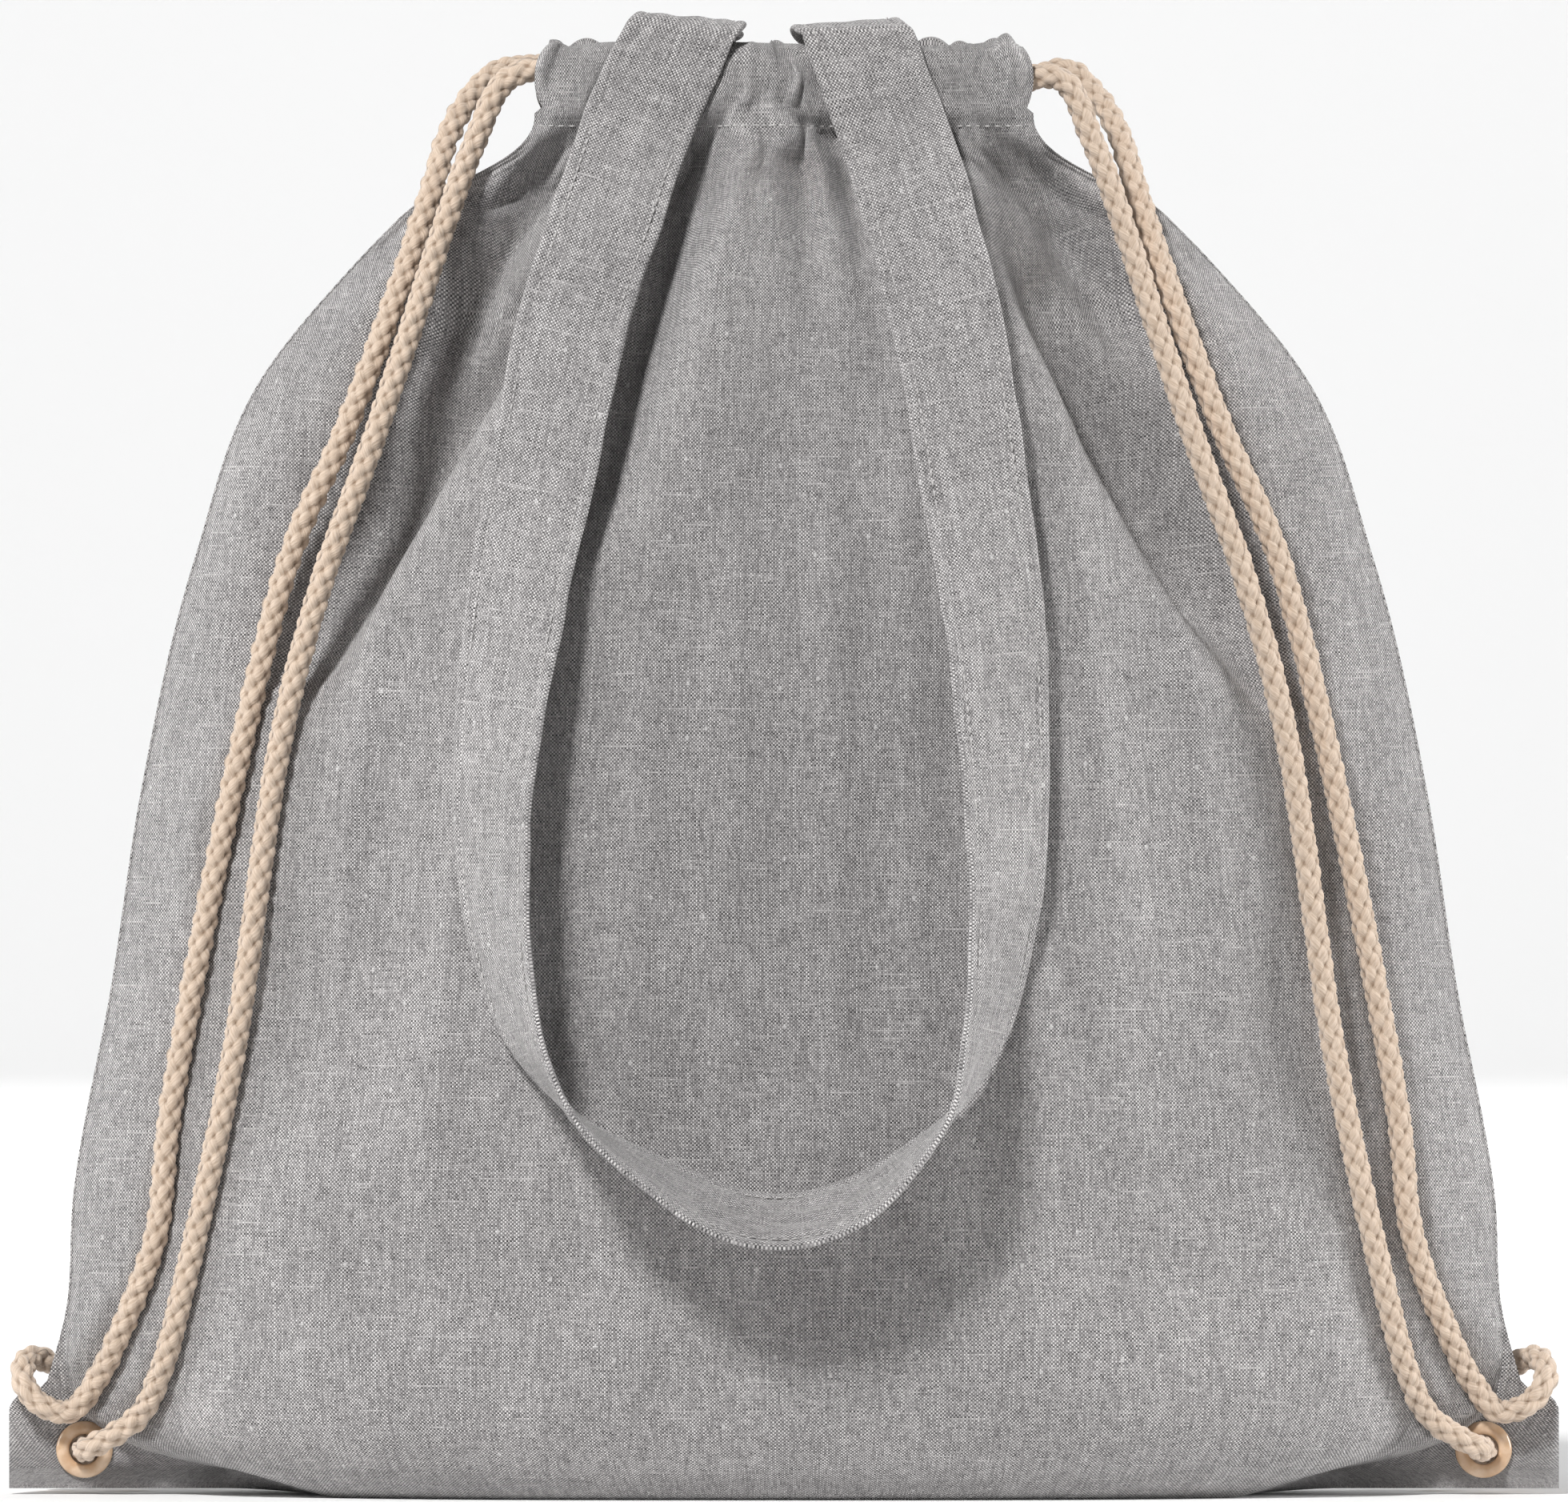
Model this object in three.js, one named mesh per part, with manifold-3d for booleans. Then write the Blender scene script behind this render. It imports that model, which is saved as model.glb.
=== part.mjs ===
// A drawstring backpack that is a tote bag as well: two cloth panels sewn together, a casing along each
// rim, two braided cords that close the mouth and serve as shoulder straps, and two cloth handles.
// Millimetres. +Z is up, the front faces -Y, and the origin is under the middle of the flat base.
import * as THREE from "three";
import { mergeVertices } from "three/addons/utils/BufferGeometryUtils.js";
import Module from "manifold-3d";

// ---- Driving dimensions ----

const gap = 0.3; // between pieces that touch
const bagWidth = 380; // from one corner tab to the other
const bagDepth = 110; // from the front belly to the back belly
const panelHeight = 338; // from the base to the hem below the casings
const clothThickness = 1.5;
const seamAllowance = 7; // flat edge outside the side seams

const tabHeight = 24; // flat corner left outside the belly
const tabLift = 1.5;
const tabShoulder = 3; // height over which the tab steps in to the side seam
const bellyCorner = 53; // how far the belly stays in from the tab's tip at the base
const bellyCornerHeight = 42;
const bellyRoundness = 2.3; // power of the belly's cross-section low down
const hemRoundness = 7; // and at the hem, where it is nearly straight
const bellyEase = 0.8; // softens the cross-section's top
const straightenFrom = 0.86; // share of the panel's height where it begins to straighten
const flatStart = 0.78; // share of the belly's half width where the panel turns into its flat edge
const columnBias = 0.35; // how much closer together the columns are near the sides

const cordDiameter = 6.4;
const casingLength = 122;
const casingSpacing = 30; // between the middles of the front and back casings
const casingWall = 1.2;
const tunnelSlack = 0.7; // beside, between, over and under the two cords in a casing
const turnRoom = 19; // length of each casing's end that is open to the mouth
const cordSettled = 13; // from the casing's end to the first place where a cord runs straight
const cordStraight = 12; // on to the second
const cordBeforeTurn = 8; // from the last straight place to the start of the turn

const handleWidth = 27;
const handleThickness = 1.6;
const foldLift = 2.4; // from the casing's top to the level where the fold starts
const strapOffset = 0.6; // between the belly and the strap that lies on it

const eyeletInset = 18.5; // from the tab's tip
const eyeletHeight = 11;
const eyeletDiameter = 14;
const eyeletClearance = 0.5; // around the cord in its eyelet
const eyeletWall = 0.9;
const flangeThickness = 1.5;
const flangeBevel = 1.2;
const flangeEdge = 0.8; // height of the bevel at the flange's rim
const barrelEnd = 0.5; // that stands out behind the washer
const washerThickness = 1;
const knotDiameter = 16;
const knotHeight = 12;

const threadWidth = 0.8;
const threadThickness = 0.5;
const seamBelow = 6; // from the top of the belly's corner to the start of a side seam
const seamAbove = 8; // from the end of a side seam to the hem
const hemInset = 4; // from the hem's edge down to its stitch line
const hemShare = 0.38; // half the stitch line's length as a share of the casing's

// ---- Sizes that follow ----

const seat = gap / 2 + clothThickness; // from the middle plane to a flat seam's outer face
const tunnelDepth = cordDiameter + 2 * tunnelSlack;
const tunnelHeight = 2 * cordDiameter + 3 * tunnelSlack;
const casingDepth = tunnelDepth + 2 * casingWall;
const casingHeight = tunnelHeight + 2 * casingWall;
const casingY = casingSpacing / 2;
const casingBottom = panelHeight + gap;
const lowerCordZ = casingBottom + casingWall + tunnelSlack + cordDiameter / 2;
const upperCordZ = lowerCordZ + cordDiameter + tunnelSlack;
const foldRadius = casingDepth / 2 + gap + handleThickness / 2; // of the strap's middle, over the rim
const pivotZ = casingBottom + casingHeight + foldLift;
const eyeletX = bagWidth / 2 - eyeletInset;
const boreRadius = cordDiameter / 2 + eyeletClearance;
const barrelRadius = boreRadius + eyeletWall;

// ---- Materials ----

const cloth = new THREE.MeshStandardMaterial({ color: 0xa5a2a2, roughness: 0.95, metalness: 0 });
const handleCloth = new THREE.MeshStandardMaterial({ color: 0xaaa7a7, roughness: 0.95, metalness: 0 });
const cotton = new THREE.MeshStandardMaterial({ color: 0xd7c3af, roughness: 0.9, metalness: 0 });
const plastic = new THREE.MeshStandardMaterial({ color: 0xc9a583, roughness: 0.3, metalness: 0 });
const sewingThread = new THREE.MeshStandardMaterial({ color: 0xc9c7c6, roughness: 0.85, metalness: 0 });

// ---- Shapes that several pieces share ----

// A smooth value along a height, through [height, value] pairs.
function profile(pairs) {
  const heights = pairs.map((pair) => pair[0]);
  const values = pairs.map((pair) => pair[1]);
  const curve = new THREE.CubicInterpolant(heights, values, 1);
  return (height) => curve.evaluate(height)[0];
}

// A box with many segments, bent by a function of its three coordinates, each from 0 to 1.
function bentBox(acrossSteps, alongSteps, place) {
  const box = new THREE.BoxGeometry(1, 1, 1, acrossSteps, 1, alongSteps);
  const position = box.getAttribute("position");
  const corner = new THREE.Vector3();
  for (let i = 0; i < position.count; i++) {
    corner.fromBufferAttribute(position, i).addScalar(0.5);
    const bent = place(corner.x, corner.y, corner.z);
    position.setXYZ(i, bent.x, bent.y, bent.z);
  }
  box.computeVertexNormals();
  return box;
}

// A strap or thread: a flat section carried along stations, each with a middle, a width direction
// and a face direction.
function ribbon(stations, width, thickness, acrossSteps) {
  const last = stations.length - 1;
  return bentBox(acrossSteps, last, (across, through, along) => {
    const station = stations[Math.round(along * last)];
    return station.middle
      .clone()
      .addScaledVector(station.wide, (across - 0.5) * width)
      .addScaledVector(station.face, (through - 0.5) * thickness);
  });
}

function turnedToBack(geometry) {
  return geometry.clone().rotateZ(Math.PI);
}

const wasm = await Module();
wasm.setup();

function solidFrom(geometry) {
  const bare = geometry.index ? geometry.toNonIndexed() : geometry.clone();
  const points = new THREE.BufferGeometry().setAttribute("position", bare.getAttribute("position"));
  const merged = mergeVertices(points, 1e-3);
  const vertProperties = merged.getAttribute("position").array;
  const triVerts = new Uint32Array(merged.index.array);
  return new wasm.Manifold(new wasm.Mesh({ numProp: 3, vertProperties, triVerts }));
}

function cut(geometry, tools) {
  let solid = solidFrom(geometry);
  for (const tool of tools) {
    solid = solid.subtract(solidFrom(tool));
  }
  const mesh = solid.getMesh();
  const result = new THREE.BufferGeometry();
  result.setAttribute("position", new THREE.BufferAttribute(mesh.vertProperties, 3));
  result.setIndex(new THREE.BufferAttribute(mesh.triVerts, 1));
  result.computeVertexNormals();
  return result;
}

const bag = new THREE.Group();

function addPiece(name, geometry, material) {
  const mesh = new THREE.Mesh(geometry, material);
  mesh.name = name;
  bag.add(mesh);
}

// ---- Panels ----

// Half the width at the side seam's outer edge, in shares of the whole, from the tab's top to the hem.
const sideShare = profile([
  [0.08, 0.952],
  [0.13, 0.928],
  [0.215, 0.918],
  [0.37, 0.868],
  [0.51, 0.83],
  [0.68, 0.76],
  [0.815, 0.668],
  [0.885, 0.566],
  [0.945, 0.46],
  [1, 0.345],
]);

// How far the middle of a panel stands out, in shares of the whole, from the base to the hem.
const bellyShare = profile([
  [0, 0.74],
  [0.012, 0.83],
  [0.036, 0.895],
  [0.09, 0.945],
  [0.18, 0.985],
  [0.3, 1],
  [0.45, 0.975],
  [0.6, 0.92],
  [0.71, 0.835],
  [0.8, 0.735],
  [0.89, 0.585],
  [0.945, 0.44],
  [0.98, 0.32],
  [1, 0.275],
]);

const lowestSideShare = 0.08;

function sideHalfWidth(height) {
  return (sideShare(Math.max(height / panelHeight, lowestSideShare)) * bagWidth) / 2;
}

function edgeHalfWidth(height) {
  return height > tabHeight + tabShoulder / 2 ? sideHalfWidth(height) : bagWidth / 2;
}

function bellyHalfWidth(height) {
  const corner = bagWidth / 2 - bellyCorner;
  const full = sideHalfWidth(bellyCornerHeight) - seamAllowance;
  const left = Math.max(0, 1 - height / bellyCornerHeight);
  return height < bellyCornerHeight
    ? full - (full - corner) * left ** 2
    : sideHalfWidth(height) - seamAllowance;
}

// How far a panel bulges at a share of its belly's half width: rounded below, nearly straight
// along the gathered hem.
function bulge(share, height) {
  const straight = THREE.MathUtils.smoothstep(height, straightenFrom * panelHeight, panelHeight);
  const power = THREE.MathUtils.lerp(bellyRoundness, hemRoundness, straight);
  return Math.max(0, 1 - Math.abs(share) ** power) ** bellyEase;
}

const baseRows = 2;
const cornerRows = [0, 0.2, 0.5, 0.8, 1].map((share) => share * tabHeight);
const sideRows = 18;
const firstSideRow = tabHeight + tabShoulder;
const heights = [...cornerRows];
for (let i = 0; i <= sideRows; i++) {
  const share = i / sideRows;
  const eased = share - 0.1 * Math.sin(2 * Math.PI * share) * share;
  heights.push(firstSideRow + (panelHeight - firstSideRow) * eased);
}
const panelRows = baseRows + heights.length - 1;
const bellyColumns = 20;
const panelColumns = bellyColumns + 2;

// The outer face of the front panel. Row 0 is the base seam, the first rows lie flat on the ground.
function panelFace(column, row) {
  const onBase = Math.min(1, row / baseRows);
  const index = THREE.MathUtils.clamp(row - baseRows, 0, heights.length - 1);
  const below = Math.floor(index);
  const above = Math.min(below + 1, heights.length - 1);
  const height = THREE.MathUtils.lerp(heights[below], heights[above], index - below);
  const belly = bellyHalfWidth(height);
  const across = THREE.MathUtils.clamp((column - 1) / bellyColumns, 0, 1) * 2 - 1;
  const share = (1 + columnBias) * across - columnBias * across ** 3;
  const beyond = Math.max(0, 1 - column) + Math.max(0, column - panelColumns + 1);
  const x = share * belly + Math.sign(across) * beyond * (edgeHalfWidth(height) - belly);
  const flat = THREE.MathUtils.smoothstep(Math.abs(share), flatStart, 1);
  const spread = tabLift + (onBase * tabHeight) / 5;
  const tabZ = height + spread * Math.max(0, 1 - height / (1.2 * tabHeight)) ** 2;
  const stand = (bagDepth / 2 - seat) * bellyShare(height / panelHeight) * bulge(share, height);
  const seam = gap / 2 + clothThickness * Math.max(flat, onBase);
  return new THREE.Vector3(x, -(seam + onBase * stand), THREE.MathUtils.lerp(height, tabZ, flat));
}

function panelInside(column, row) {
  const step = 0.05;
  const right = panelFace(Math.min(column + step, panelColumns), row);
  const left = panelFace(Math.max(column - step, 0), row);
  const up = panelFace(column, Math.min(row + step, panelRows));
  const down = panelFace(column, Math.max(row - step, 0));
  const inward = up.sub(down).cross(right.sub(left)).normalize();
  const face = panelFace(column, row);
  const inside = face.clone().addScaledVector(inward, clothThickness);
  const isFlat = column < 1.5 || column > panelColumns - 1.5;
  if (isFlat) {
    inside.set(face.x, face.y + clothThickness, face.z);
  }
  inside.y = Math.min(inside.y, -gap / 2);
  return inside;
}

const panel = bentBox(panelColumns, panelRows, (across, through, along) => {
  const column = Math.round(across * panelColumns);
  const row = Math.round(along * panelRows);
  return through < 0.5 ? panelFace(column, row) : panelInside(column, row);
});

function eyeletHole(side) {
  const hole = new THREE.CylinderGeometry(barrelRadius + gap, barrelRadius + gap, 30, 16);
  return hole.translate(side * eyeletX, 0, eyeletHeight);
}

const holedPanel = cut(panel, [eyeletHole(-1), eyeletHole(1)]);
addPiece("front_panel", holedPanel, cloth);
addPiece("back_panel", turnedToBack(holedPanel), cloth);

// How far forward the front panel's outer face stands at a place.
function bellyFront(x, z) {
  const height = Math.min(z, panelHeight);
  const share = Math.min(1, Math.abs(x) / bellyHalfWidth(height));
  return -(seat + (bagDepth / 2 - seat) * bellyShare(height / panelHeight) * bulge(share, height));
}

// ---- Casings ----

function rectangle(Kind, width, height) {
  const outline = new Kind();
  outline.moveTo(-width / 2, -height / 2);
  outline.lineTo(width / 2, -height / 2);
  outline.lineTo(width / 2, height / 2);
  outline.lineTo(-width / 2, height / 2);
  outline.closePath();
  return outline;
}

const casingMiddle = new THREE.Vector3(0, -casingY, casingBottom + casingHeight / 2);
const casingSection = rectangle(THREE.Shape, casingDepth, casingHeight);
casingSection.holes.push(rectangle(THREE.Path, tunnelDepth, tunnelHeight));
const alongX = new THREE.Matrix4().makeBasis(
  new THREE.Vector3(0, 1, 0),
  new THREE.Vector3(0, 0, 1),
  new THREE.Vector3(1, 0, 0),
);
const casingTube = new THREE.ExtrudeGeometry(casingSection, { depth: casingLength, bevelEnabled: false })
  .translate(0, 0, -casingLength / 2)
  .applyMatrix4(alongX)
  .translate(...casingMiddle.toArray());

// Each end is open towards the mouth, where the other side's cord turns back.
function turnOpening(side) {
  const opening = new THREE.BoxGeometry(2 * turnRoom, casingDepth, tunnelHeight);
  return opening.translate(
    side * (casingLength / 2),
    casingMiddle.y + casingDepth / 2,
    casingMiddle.z,
  );
}

const casing = cut(casingTube, [turnOpening(-1), turnOpening(1)]);
addPiece("front_casing", casing, cloth);
addPiece("back_casing", turnedToBack(casing), cloth);

// ---- Handles ----

// A place on a strap that runs in the front plane along a direction. With no twist its face looks
// forward, and the twist brings its inner edge towards the viewer.
function strapStation(middle, direction, twist) {
  const tangent = direction.clone().setY(0).normalize();
  const inPlane = new THREE.Vector3(-tangent.z, 0, tangent.x);
  const forward = new THREE.Vector3(0, -1, 0);
  const wide = inPlane.multiplyScalar(Math.cos(twist)).addScaledVector(forward, Math.sin(twist));
  return { middle, wide, face: tangent.cross(wide) };
}

// The front handle's hanging part: across, how far below the fold, and twist in degrees, down the
// left leg, round the bottom and up the right leg.
const handleRoute = [
  [-25.5, gap, 0],
  [-34.5, 20, 0],
  [-43, 45, 3],
  [-51, 70, 6],
  [-58, 104, 12],
  [-65, 140, 25],
  [-70, 180, 42],
  [-70, 213, 53],
  [-64.5, 241, 68],
  [-51.3, 263.4, 90],
  [-33, 277.5, 106],
  [-12, 288, 116],
  [5, 289, 117],
  [22, 282, 110],
  [39.9, 264.2, 90],
  [47.5, 247, 70],
  [52.6, 224, 56],
  [54, 193, 42],
  [52.2, 155, 28],
  [47, 116, 14],
  [40, 73, 5],
  [30.5, 36, 0],
  [18, gap, 0],
];
const leftLegX = handleRoute[0][0];
const rightLegX = handleRoute.at(-1)[0];
const handleSteps = 60;

function handleStations() {
  const route = new THREE.CatmullRomCurve3(handleRoute.map((point) => new THREE.Vector3(...point)));
  const places = route.getPoints(handleSteps);
  const clear = handleThickness / 2 + strapOffset;
  return places.map((place, i) => {
    const x = place.x;
    const z = pivotZ - place.y;
    const twist = THREE.MathUtils.degToRad(place.z);
    const before = places[Math.max(i - 1, 0)];
    const after = places[Math.min(i + 1, handleSteps)];
    const direction = new THREE.Vector3(after.x - before.x, 0, before.y - after.y);
    if (i === 0 || i === handleSteps) {
      direction.set(0, 0, i === 0 ? -1 : 1);
    }
    const station = strapStation(new THREE.Vector3(x, 0, z), direction, twist);
    const fronts = [-0.5, 0, 0.5].map((share) => {
      const reach = share * handleWidth;
      return bellyFront(x + reach * station.wide.x, z + reach * station.wide.z);
    });
    const resting = Math.min(...fronts) - clear - (handleWidth / 2) * Math.sin(twist);
    station.middle.y = Math.min(resting, -(casingY + foldRadius));
    return station;
  });
}

// The sewn end: up the inside of the casing and over the rim, to where the strap hangs free.
function handleEndStations(x) {
  const stations = [];
  const straightSteps = 3;
  const insideY = -(casingY - foldRadius);
  for (let i = 0; i < straightSteps; i++) {
    const z = THREE.MathUtils.lerp(casingBottom, pivotZ, i / straightSteps);
    stations.push({ y: insideY, z, angle: 0 });
  }
  const turnSteps = 8;
  for (let i = 0; i <= turnSteps; i++) {
    const angle = (Math.PI * i) / turnSteps;
    const y = -casingY + foldRadius * Math.cos(angle);
    stations.push({ y, z: pivotZ + foldRadius * Math.sin(angle), angle });
  }
  return stations.map(({ y, z, angle }) => ({
    middle: new THREE.Vector3(x, y, z),
    wide: new THREE.Vector3(1, 0, 0),
    face: new THREE.Vector3(0, Math.cos(angle), Math.sin(angle)),
  }));
}

const strapColumns = 2;
const hangingStrap = ribbon(handleStations(), handleWidth, handleThickness, strapColumns);
const leftStrapEnd = ribbon(handleEndStations(leftLegX), handleWidth, handleThickness, strapColumns);
const rightStrapEnd = ribbon(handleEndStations(rightLegX), handleWidth, handleThickness, strapColumns);
addPiece("front_handle", hangingStrap, handleCloth);
addPiece("front_handle_left_end", leftStrapEnd, handleCloth);
addPiece("front_handle_right_end", rightStrapEnd, handleCloth);
addPiece("back_handle", turnedToBack(hangingStrap), handleCloth);
addPiece("back_handle_left_end", turnedToBack(rightStrapEnd), handleCloth);
addPiece("back_handle_right_end", turnedToBack(leftStrapEnd), handleCloth);

// ---- Eyelets ----

const flangeBack = -(seat + gap);
const flangeFront = flangeBack - flangeThickness;
const washerFront = seat + gap;
const washerBack = washerFront + washerThickness;
const eyeletRadius = eyeletDiameter / 2;
const eyeletSides = 20;

function ring(outline) {
  const points = outline.map((point) => new THREE.Vector2(...point));
  return new THREE.LatheGeometry([...points, points[0].clone()], eyeletSides);
}

const eyelet = ring([
  [boreRadius, flangeFront + flangeBevel],
  [boreRadius + eyeletWall, flangeFront],
  [eyeletRadius - flangeBevel, flangeFront],
  [eyeletRadius, flangeFront + flangeEdge],
  [eyeletRadius, flangeBack],
  [barrelRadius, flangeBack],
  [barrelRadius, washerBack + barrelEnd],
  [boreRadius, washerBack + barrelEnd],
]);
const washer = ring([
  [barrelRadius + gap, washerFront],
  [eyeletRadius, washerFront],
  [eyeletRadius, washerBack],
  [barrelRadius + gap, washerBack],
]);

for (const [name, side] of [["left", -1], ["right", 1]]) {
  addPiece(`${name}_eyelet`, eyelet.clone().translate(side * eyeletX, 0, eyeletHeight), plastic);
  addPiece(`${name}_washer`, washer.clone().translate(side * eyeletX, 0, eyeletHeight), plastic);
}

// ---- Cords ----

// The left cord from its knot: through the eyelet and up the front to the casing.
const innerStrand = [
  [-171.5, 5.2, 11],
  [-171.5, -4.2, 11],
  [-169.6, -9, 12],
  [-164.5, -11.6, 14.6],
  [-157.5, -14, 20],
  [-152.5, -19.8, 30],
  [-147.5, -25.2, 47.5],
  [-134.5, -29.6, 107],
  [-122.5, -29, 186],
  [-112.5, -29, 224],
  [-101.4, -28.7, 254.5],
  [-91.5, -24.7, 284],
  [-82.5, -19.5, 312],
  [-75.2, -16.4, 332],
  [-67.5, -15.2, 346.5],
];

// From the back casing over the shoulder, down the front, round the side edge above the tab, and
// back to the knot.
const outerStrand = [
  [-69.5, 14, 349.5],
  [-76.5, 9, 343.5],
  [-82.2, 0.5, 333.5],
  [-86.2, -8, 320],
  [-94.6, -18, 294.3],
  [-107, -23.2, 261],
  [-121.5, -22.8, 227],
  [-149.5, -21, 97],
  [-153.5, -20.4, 64],
  [-162, -14.6, 41],
  [-168.5, -8.2, 28],
  [-175, -7, 20.5],
  [-182.4, -6.8, 22.4],
  [-186.3, -5, 27.4],
  [-186.4, 0, 31.8],
  [-183.4, 6.4, 33.4],
  [-174, 13.5, 26.5],
  [-172, 13.5, 20.4],
];

const turnX = casingLength / 2 - turnRoom;
const turnSteps = 4;
const cordStep = 2.5 * cordDiameter;
const cordSides = 8;

// Through the front casing, round the far end and back through the back casing.
function casingRun(height) {
  const run = [];
  for (let i = 0; i <= turnSteps; i++) {
    const angle = (Math.PI * i) / turnSteps - Math.PI / 2;
    run.push([turnX + casingY * Math.cos(angle), casingY * Math.sin(angle), height]);
  }
  const firstPlace = cordSettled - casingLength / 2;
  const straight = [firstPlace, firstPlace + cordStraight, turnX - cordBeforeTurn];
  const front = straight.map((x) => [x, -casingY, height]);
  const back = straight.map((x) => [x, casingY, height]).reverse();
  return [...front, ...run, ...back];
}

// A smooth route whose steps start and end at its points, so that close points give short steps.
class CordRoute extends THREE.CatmullRomCurve3 {
  constructor(points) {
    super(points);
    const legs = points.length - 1;
    this.stations = [0];
    for (let leg = 0; leg < legs; leg++) {
      const length = points[leg].distanceTo(points[leg + 1]);
      const steps = Math.max(1, Math.round(length / cordStep));
      for (let i = 1; i <= steps; i++) {
        this.stations.push((leg + i / steps) / legs);
      }
    }
  }

  get steps() {
    return this.stations.length - 1;
  }

  getUtoTmapping(share) {
    const place = share * this.steps;
    const below = Math.min(Math.floor(place + 1e-9), this.steps - 1);
    return THREE.MathUtils.lerp(this.stations[below], this.stations[below + 1], place - below);
  }
}

function cordTube(side, height) {
  const points = [...innerStrand, ...casingRun(height), ...outerStrand];
  const route = new CordRoute(points.map(([x, y, z]) => new THREE.Vector3(-side * x, y, z)));
  const section = new THREE.Shape();
  for (let i = 0; i < cordSides; i++) {
    const angle = (2 * Math.PI * i) / cordSides;
    const corner = new THREE.Vector2(Math.cos(angle), Math.sin(angle)).multiplyScalar(cordDiameter / 2);
    if (i === 0) {
      section.moveTo(corner.x, corner.y);
    } else {
      section.lineTo(corner.x, corner.y);
    }
  }
  section.closePath();
  return new THREE.ExtrudeGeometry(section, {
    steps: route.steps,
    bevelEnabled: false,
    extrudePath: route,
  });
}

addPiece("left_cord", cordTube(-1, upperCordZ), cotton);
addPiece("right_cord", cordTube(1, lowerCordZ), cotton);

const knotFront = innerStrand[0][1] + gap;
const knotMiddle = new THREE.Vector3(-eyeletX, knotFront + knotDiameter / 2, knotHeight);
const knot = new THREE.SphereGeometry(knotDiameter / 2, 14, 10);
addPiece("left_knot", knot.clone().translate(knotMiddle.x, knotMiddle.y, knotMiddle.z), cotton);
addPiece("right_knot", knot.clone().translate(-knotMiddle.x, knotMiddle.y, knotMiddle.z), cotton);

// ---- Sewing ----

const threadLift = gap + threadThickness / 2;
const threadSteps = 16;

function threadAlong(places) {
  const last = places.length - 1;
  const stations = places.map((place, i) => {
    const direction = places[Math.min(i + 1, last)].clone().sub(places[Math.max(i - 1, 0)]);
    return strapStation(place, direction, 0);
  });
  return ribbon(stations, threadWidth, threadThickness, 1);
}

function sideSeam() {
  const places = [];
  for (let i = 0; i <= threadSteps; i++) {
    const z = THREE.MathUtils.lerp(bellyCornerHeight + seamBelow, panelHeight - seamAbove, i / threadSteps);
    places.push(new THREE.Vector3(edgeHalfWidth(z) - seamAllowance / 2, -(seat + threadLift), z));
  }
  return threadAlong(places);
}

function hemSeam() {
  const places = [];
  const z = panelHeight - hemInset;
  const half = hemShare * casingLength;
  for (let i = 0; i <= threadSteps; i++) {
    const x = THREE.MathUtils.lerp(-half, half, i / threadSteps);
    places.push(new THREE.Vector3(x, bellyFront(x, z) - threadLift, z));
  }
  return threadAlong(places);
}

addPiece("right_seam_thread", sideSeam(), sewingThread);
addPiece("left_seam_thread", turnedToBack(sideSeam()), sewingThread);
addPiece("front_hem_thread", hemSeam(), sewingThread);
addPiece("back_hem_thread", turnedToBack(hemSeam()), sewingThread);

export default bag;
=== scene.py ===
import math

import bmesh
import bpy
import numpy as np
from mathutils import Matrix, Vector
from mathutils.bvhtree import BVHTree


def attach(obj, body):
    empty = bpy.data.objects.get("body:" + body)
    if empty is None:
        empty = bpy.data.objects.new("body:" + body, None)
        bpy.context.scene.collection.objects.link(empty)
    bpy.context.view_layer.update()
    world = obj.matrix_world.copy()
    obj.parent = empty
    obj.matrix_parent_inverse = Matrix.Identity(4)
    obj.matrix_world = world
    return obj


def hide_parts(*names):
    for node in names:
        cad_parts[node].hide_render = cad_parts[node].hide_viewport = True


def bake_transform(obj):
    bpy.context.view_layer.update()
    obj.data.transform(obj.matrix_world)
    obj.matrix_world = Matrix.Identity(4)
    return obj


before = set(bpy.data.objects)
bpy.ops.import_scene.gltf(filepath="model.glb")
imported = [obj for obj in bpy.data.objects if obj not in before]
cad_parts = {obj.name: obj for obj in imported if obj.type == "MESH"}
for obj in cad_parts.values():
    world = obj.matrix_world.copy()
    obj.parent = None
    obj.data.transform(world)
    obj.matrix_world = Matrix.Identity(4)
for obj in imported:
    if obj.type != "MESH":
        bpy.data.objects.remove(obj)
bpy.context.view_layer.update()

# ---- Bag cloth: the front and the back ----
#
# Each half is one cut of plain woven cotton, 0.38 m wide. It comes forward from the seam in the middle
# of the base, goes up the belly, over the cords and down inside again, where it is hemmed, so that the
# hem makes the casing. The two are sewn together along the sides, and the cords gather the top.

MM = 0.001
BAG_WIDTH = 0.380
PANEL_HEIGHT = 0.338
BELLY_DEPTH = 0.05335
BELLY_ROUNDNESS = 2.3
HEM_ROUNDNESS = 7.0
BASE_FULLNESS = 1.2
BASE_EASES = (0.01, 0.06)
BELLY_EASE = 0.8
STRAIGHTENS_FROM = 0.86 * PANEL_HEIGHT
SEAM_FACE = 0.00165
BASE_SEAM_GAP = 0.00015
SIDE_SEAM_GAP = 0.0015
SEAM_ALLOWANCE = 0.0006
STITCHED_EDGE = 0.0065
STITCH_GROOVE = 0.0006
TAB_HEIGHT = 0.024
TAB_SHOULDER = 0.003
TAB_LIFT = 0.0015
TAB_ROUNDING = 0.0022
TAB_ROUNDING_HEIGHT = 0.004
BELLY_CORNER = 0.053
BELLY_CORNER_HEIGHT = 0.042
BELLY_CORNER_ROUND = 3.6
CLOTH_THICKNESS = 0.0008
HALF_GAP = 0.00002
HEM_THICKNESS = 0.0016
THREAD_SPREAD = 0.6

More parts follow.
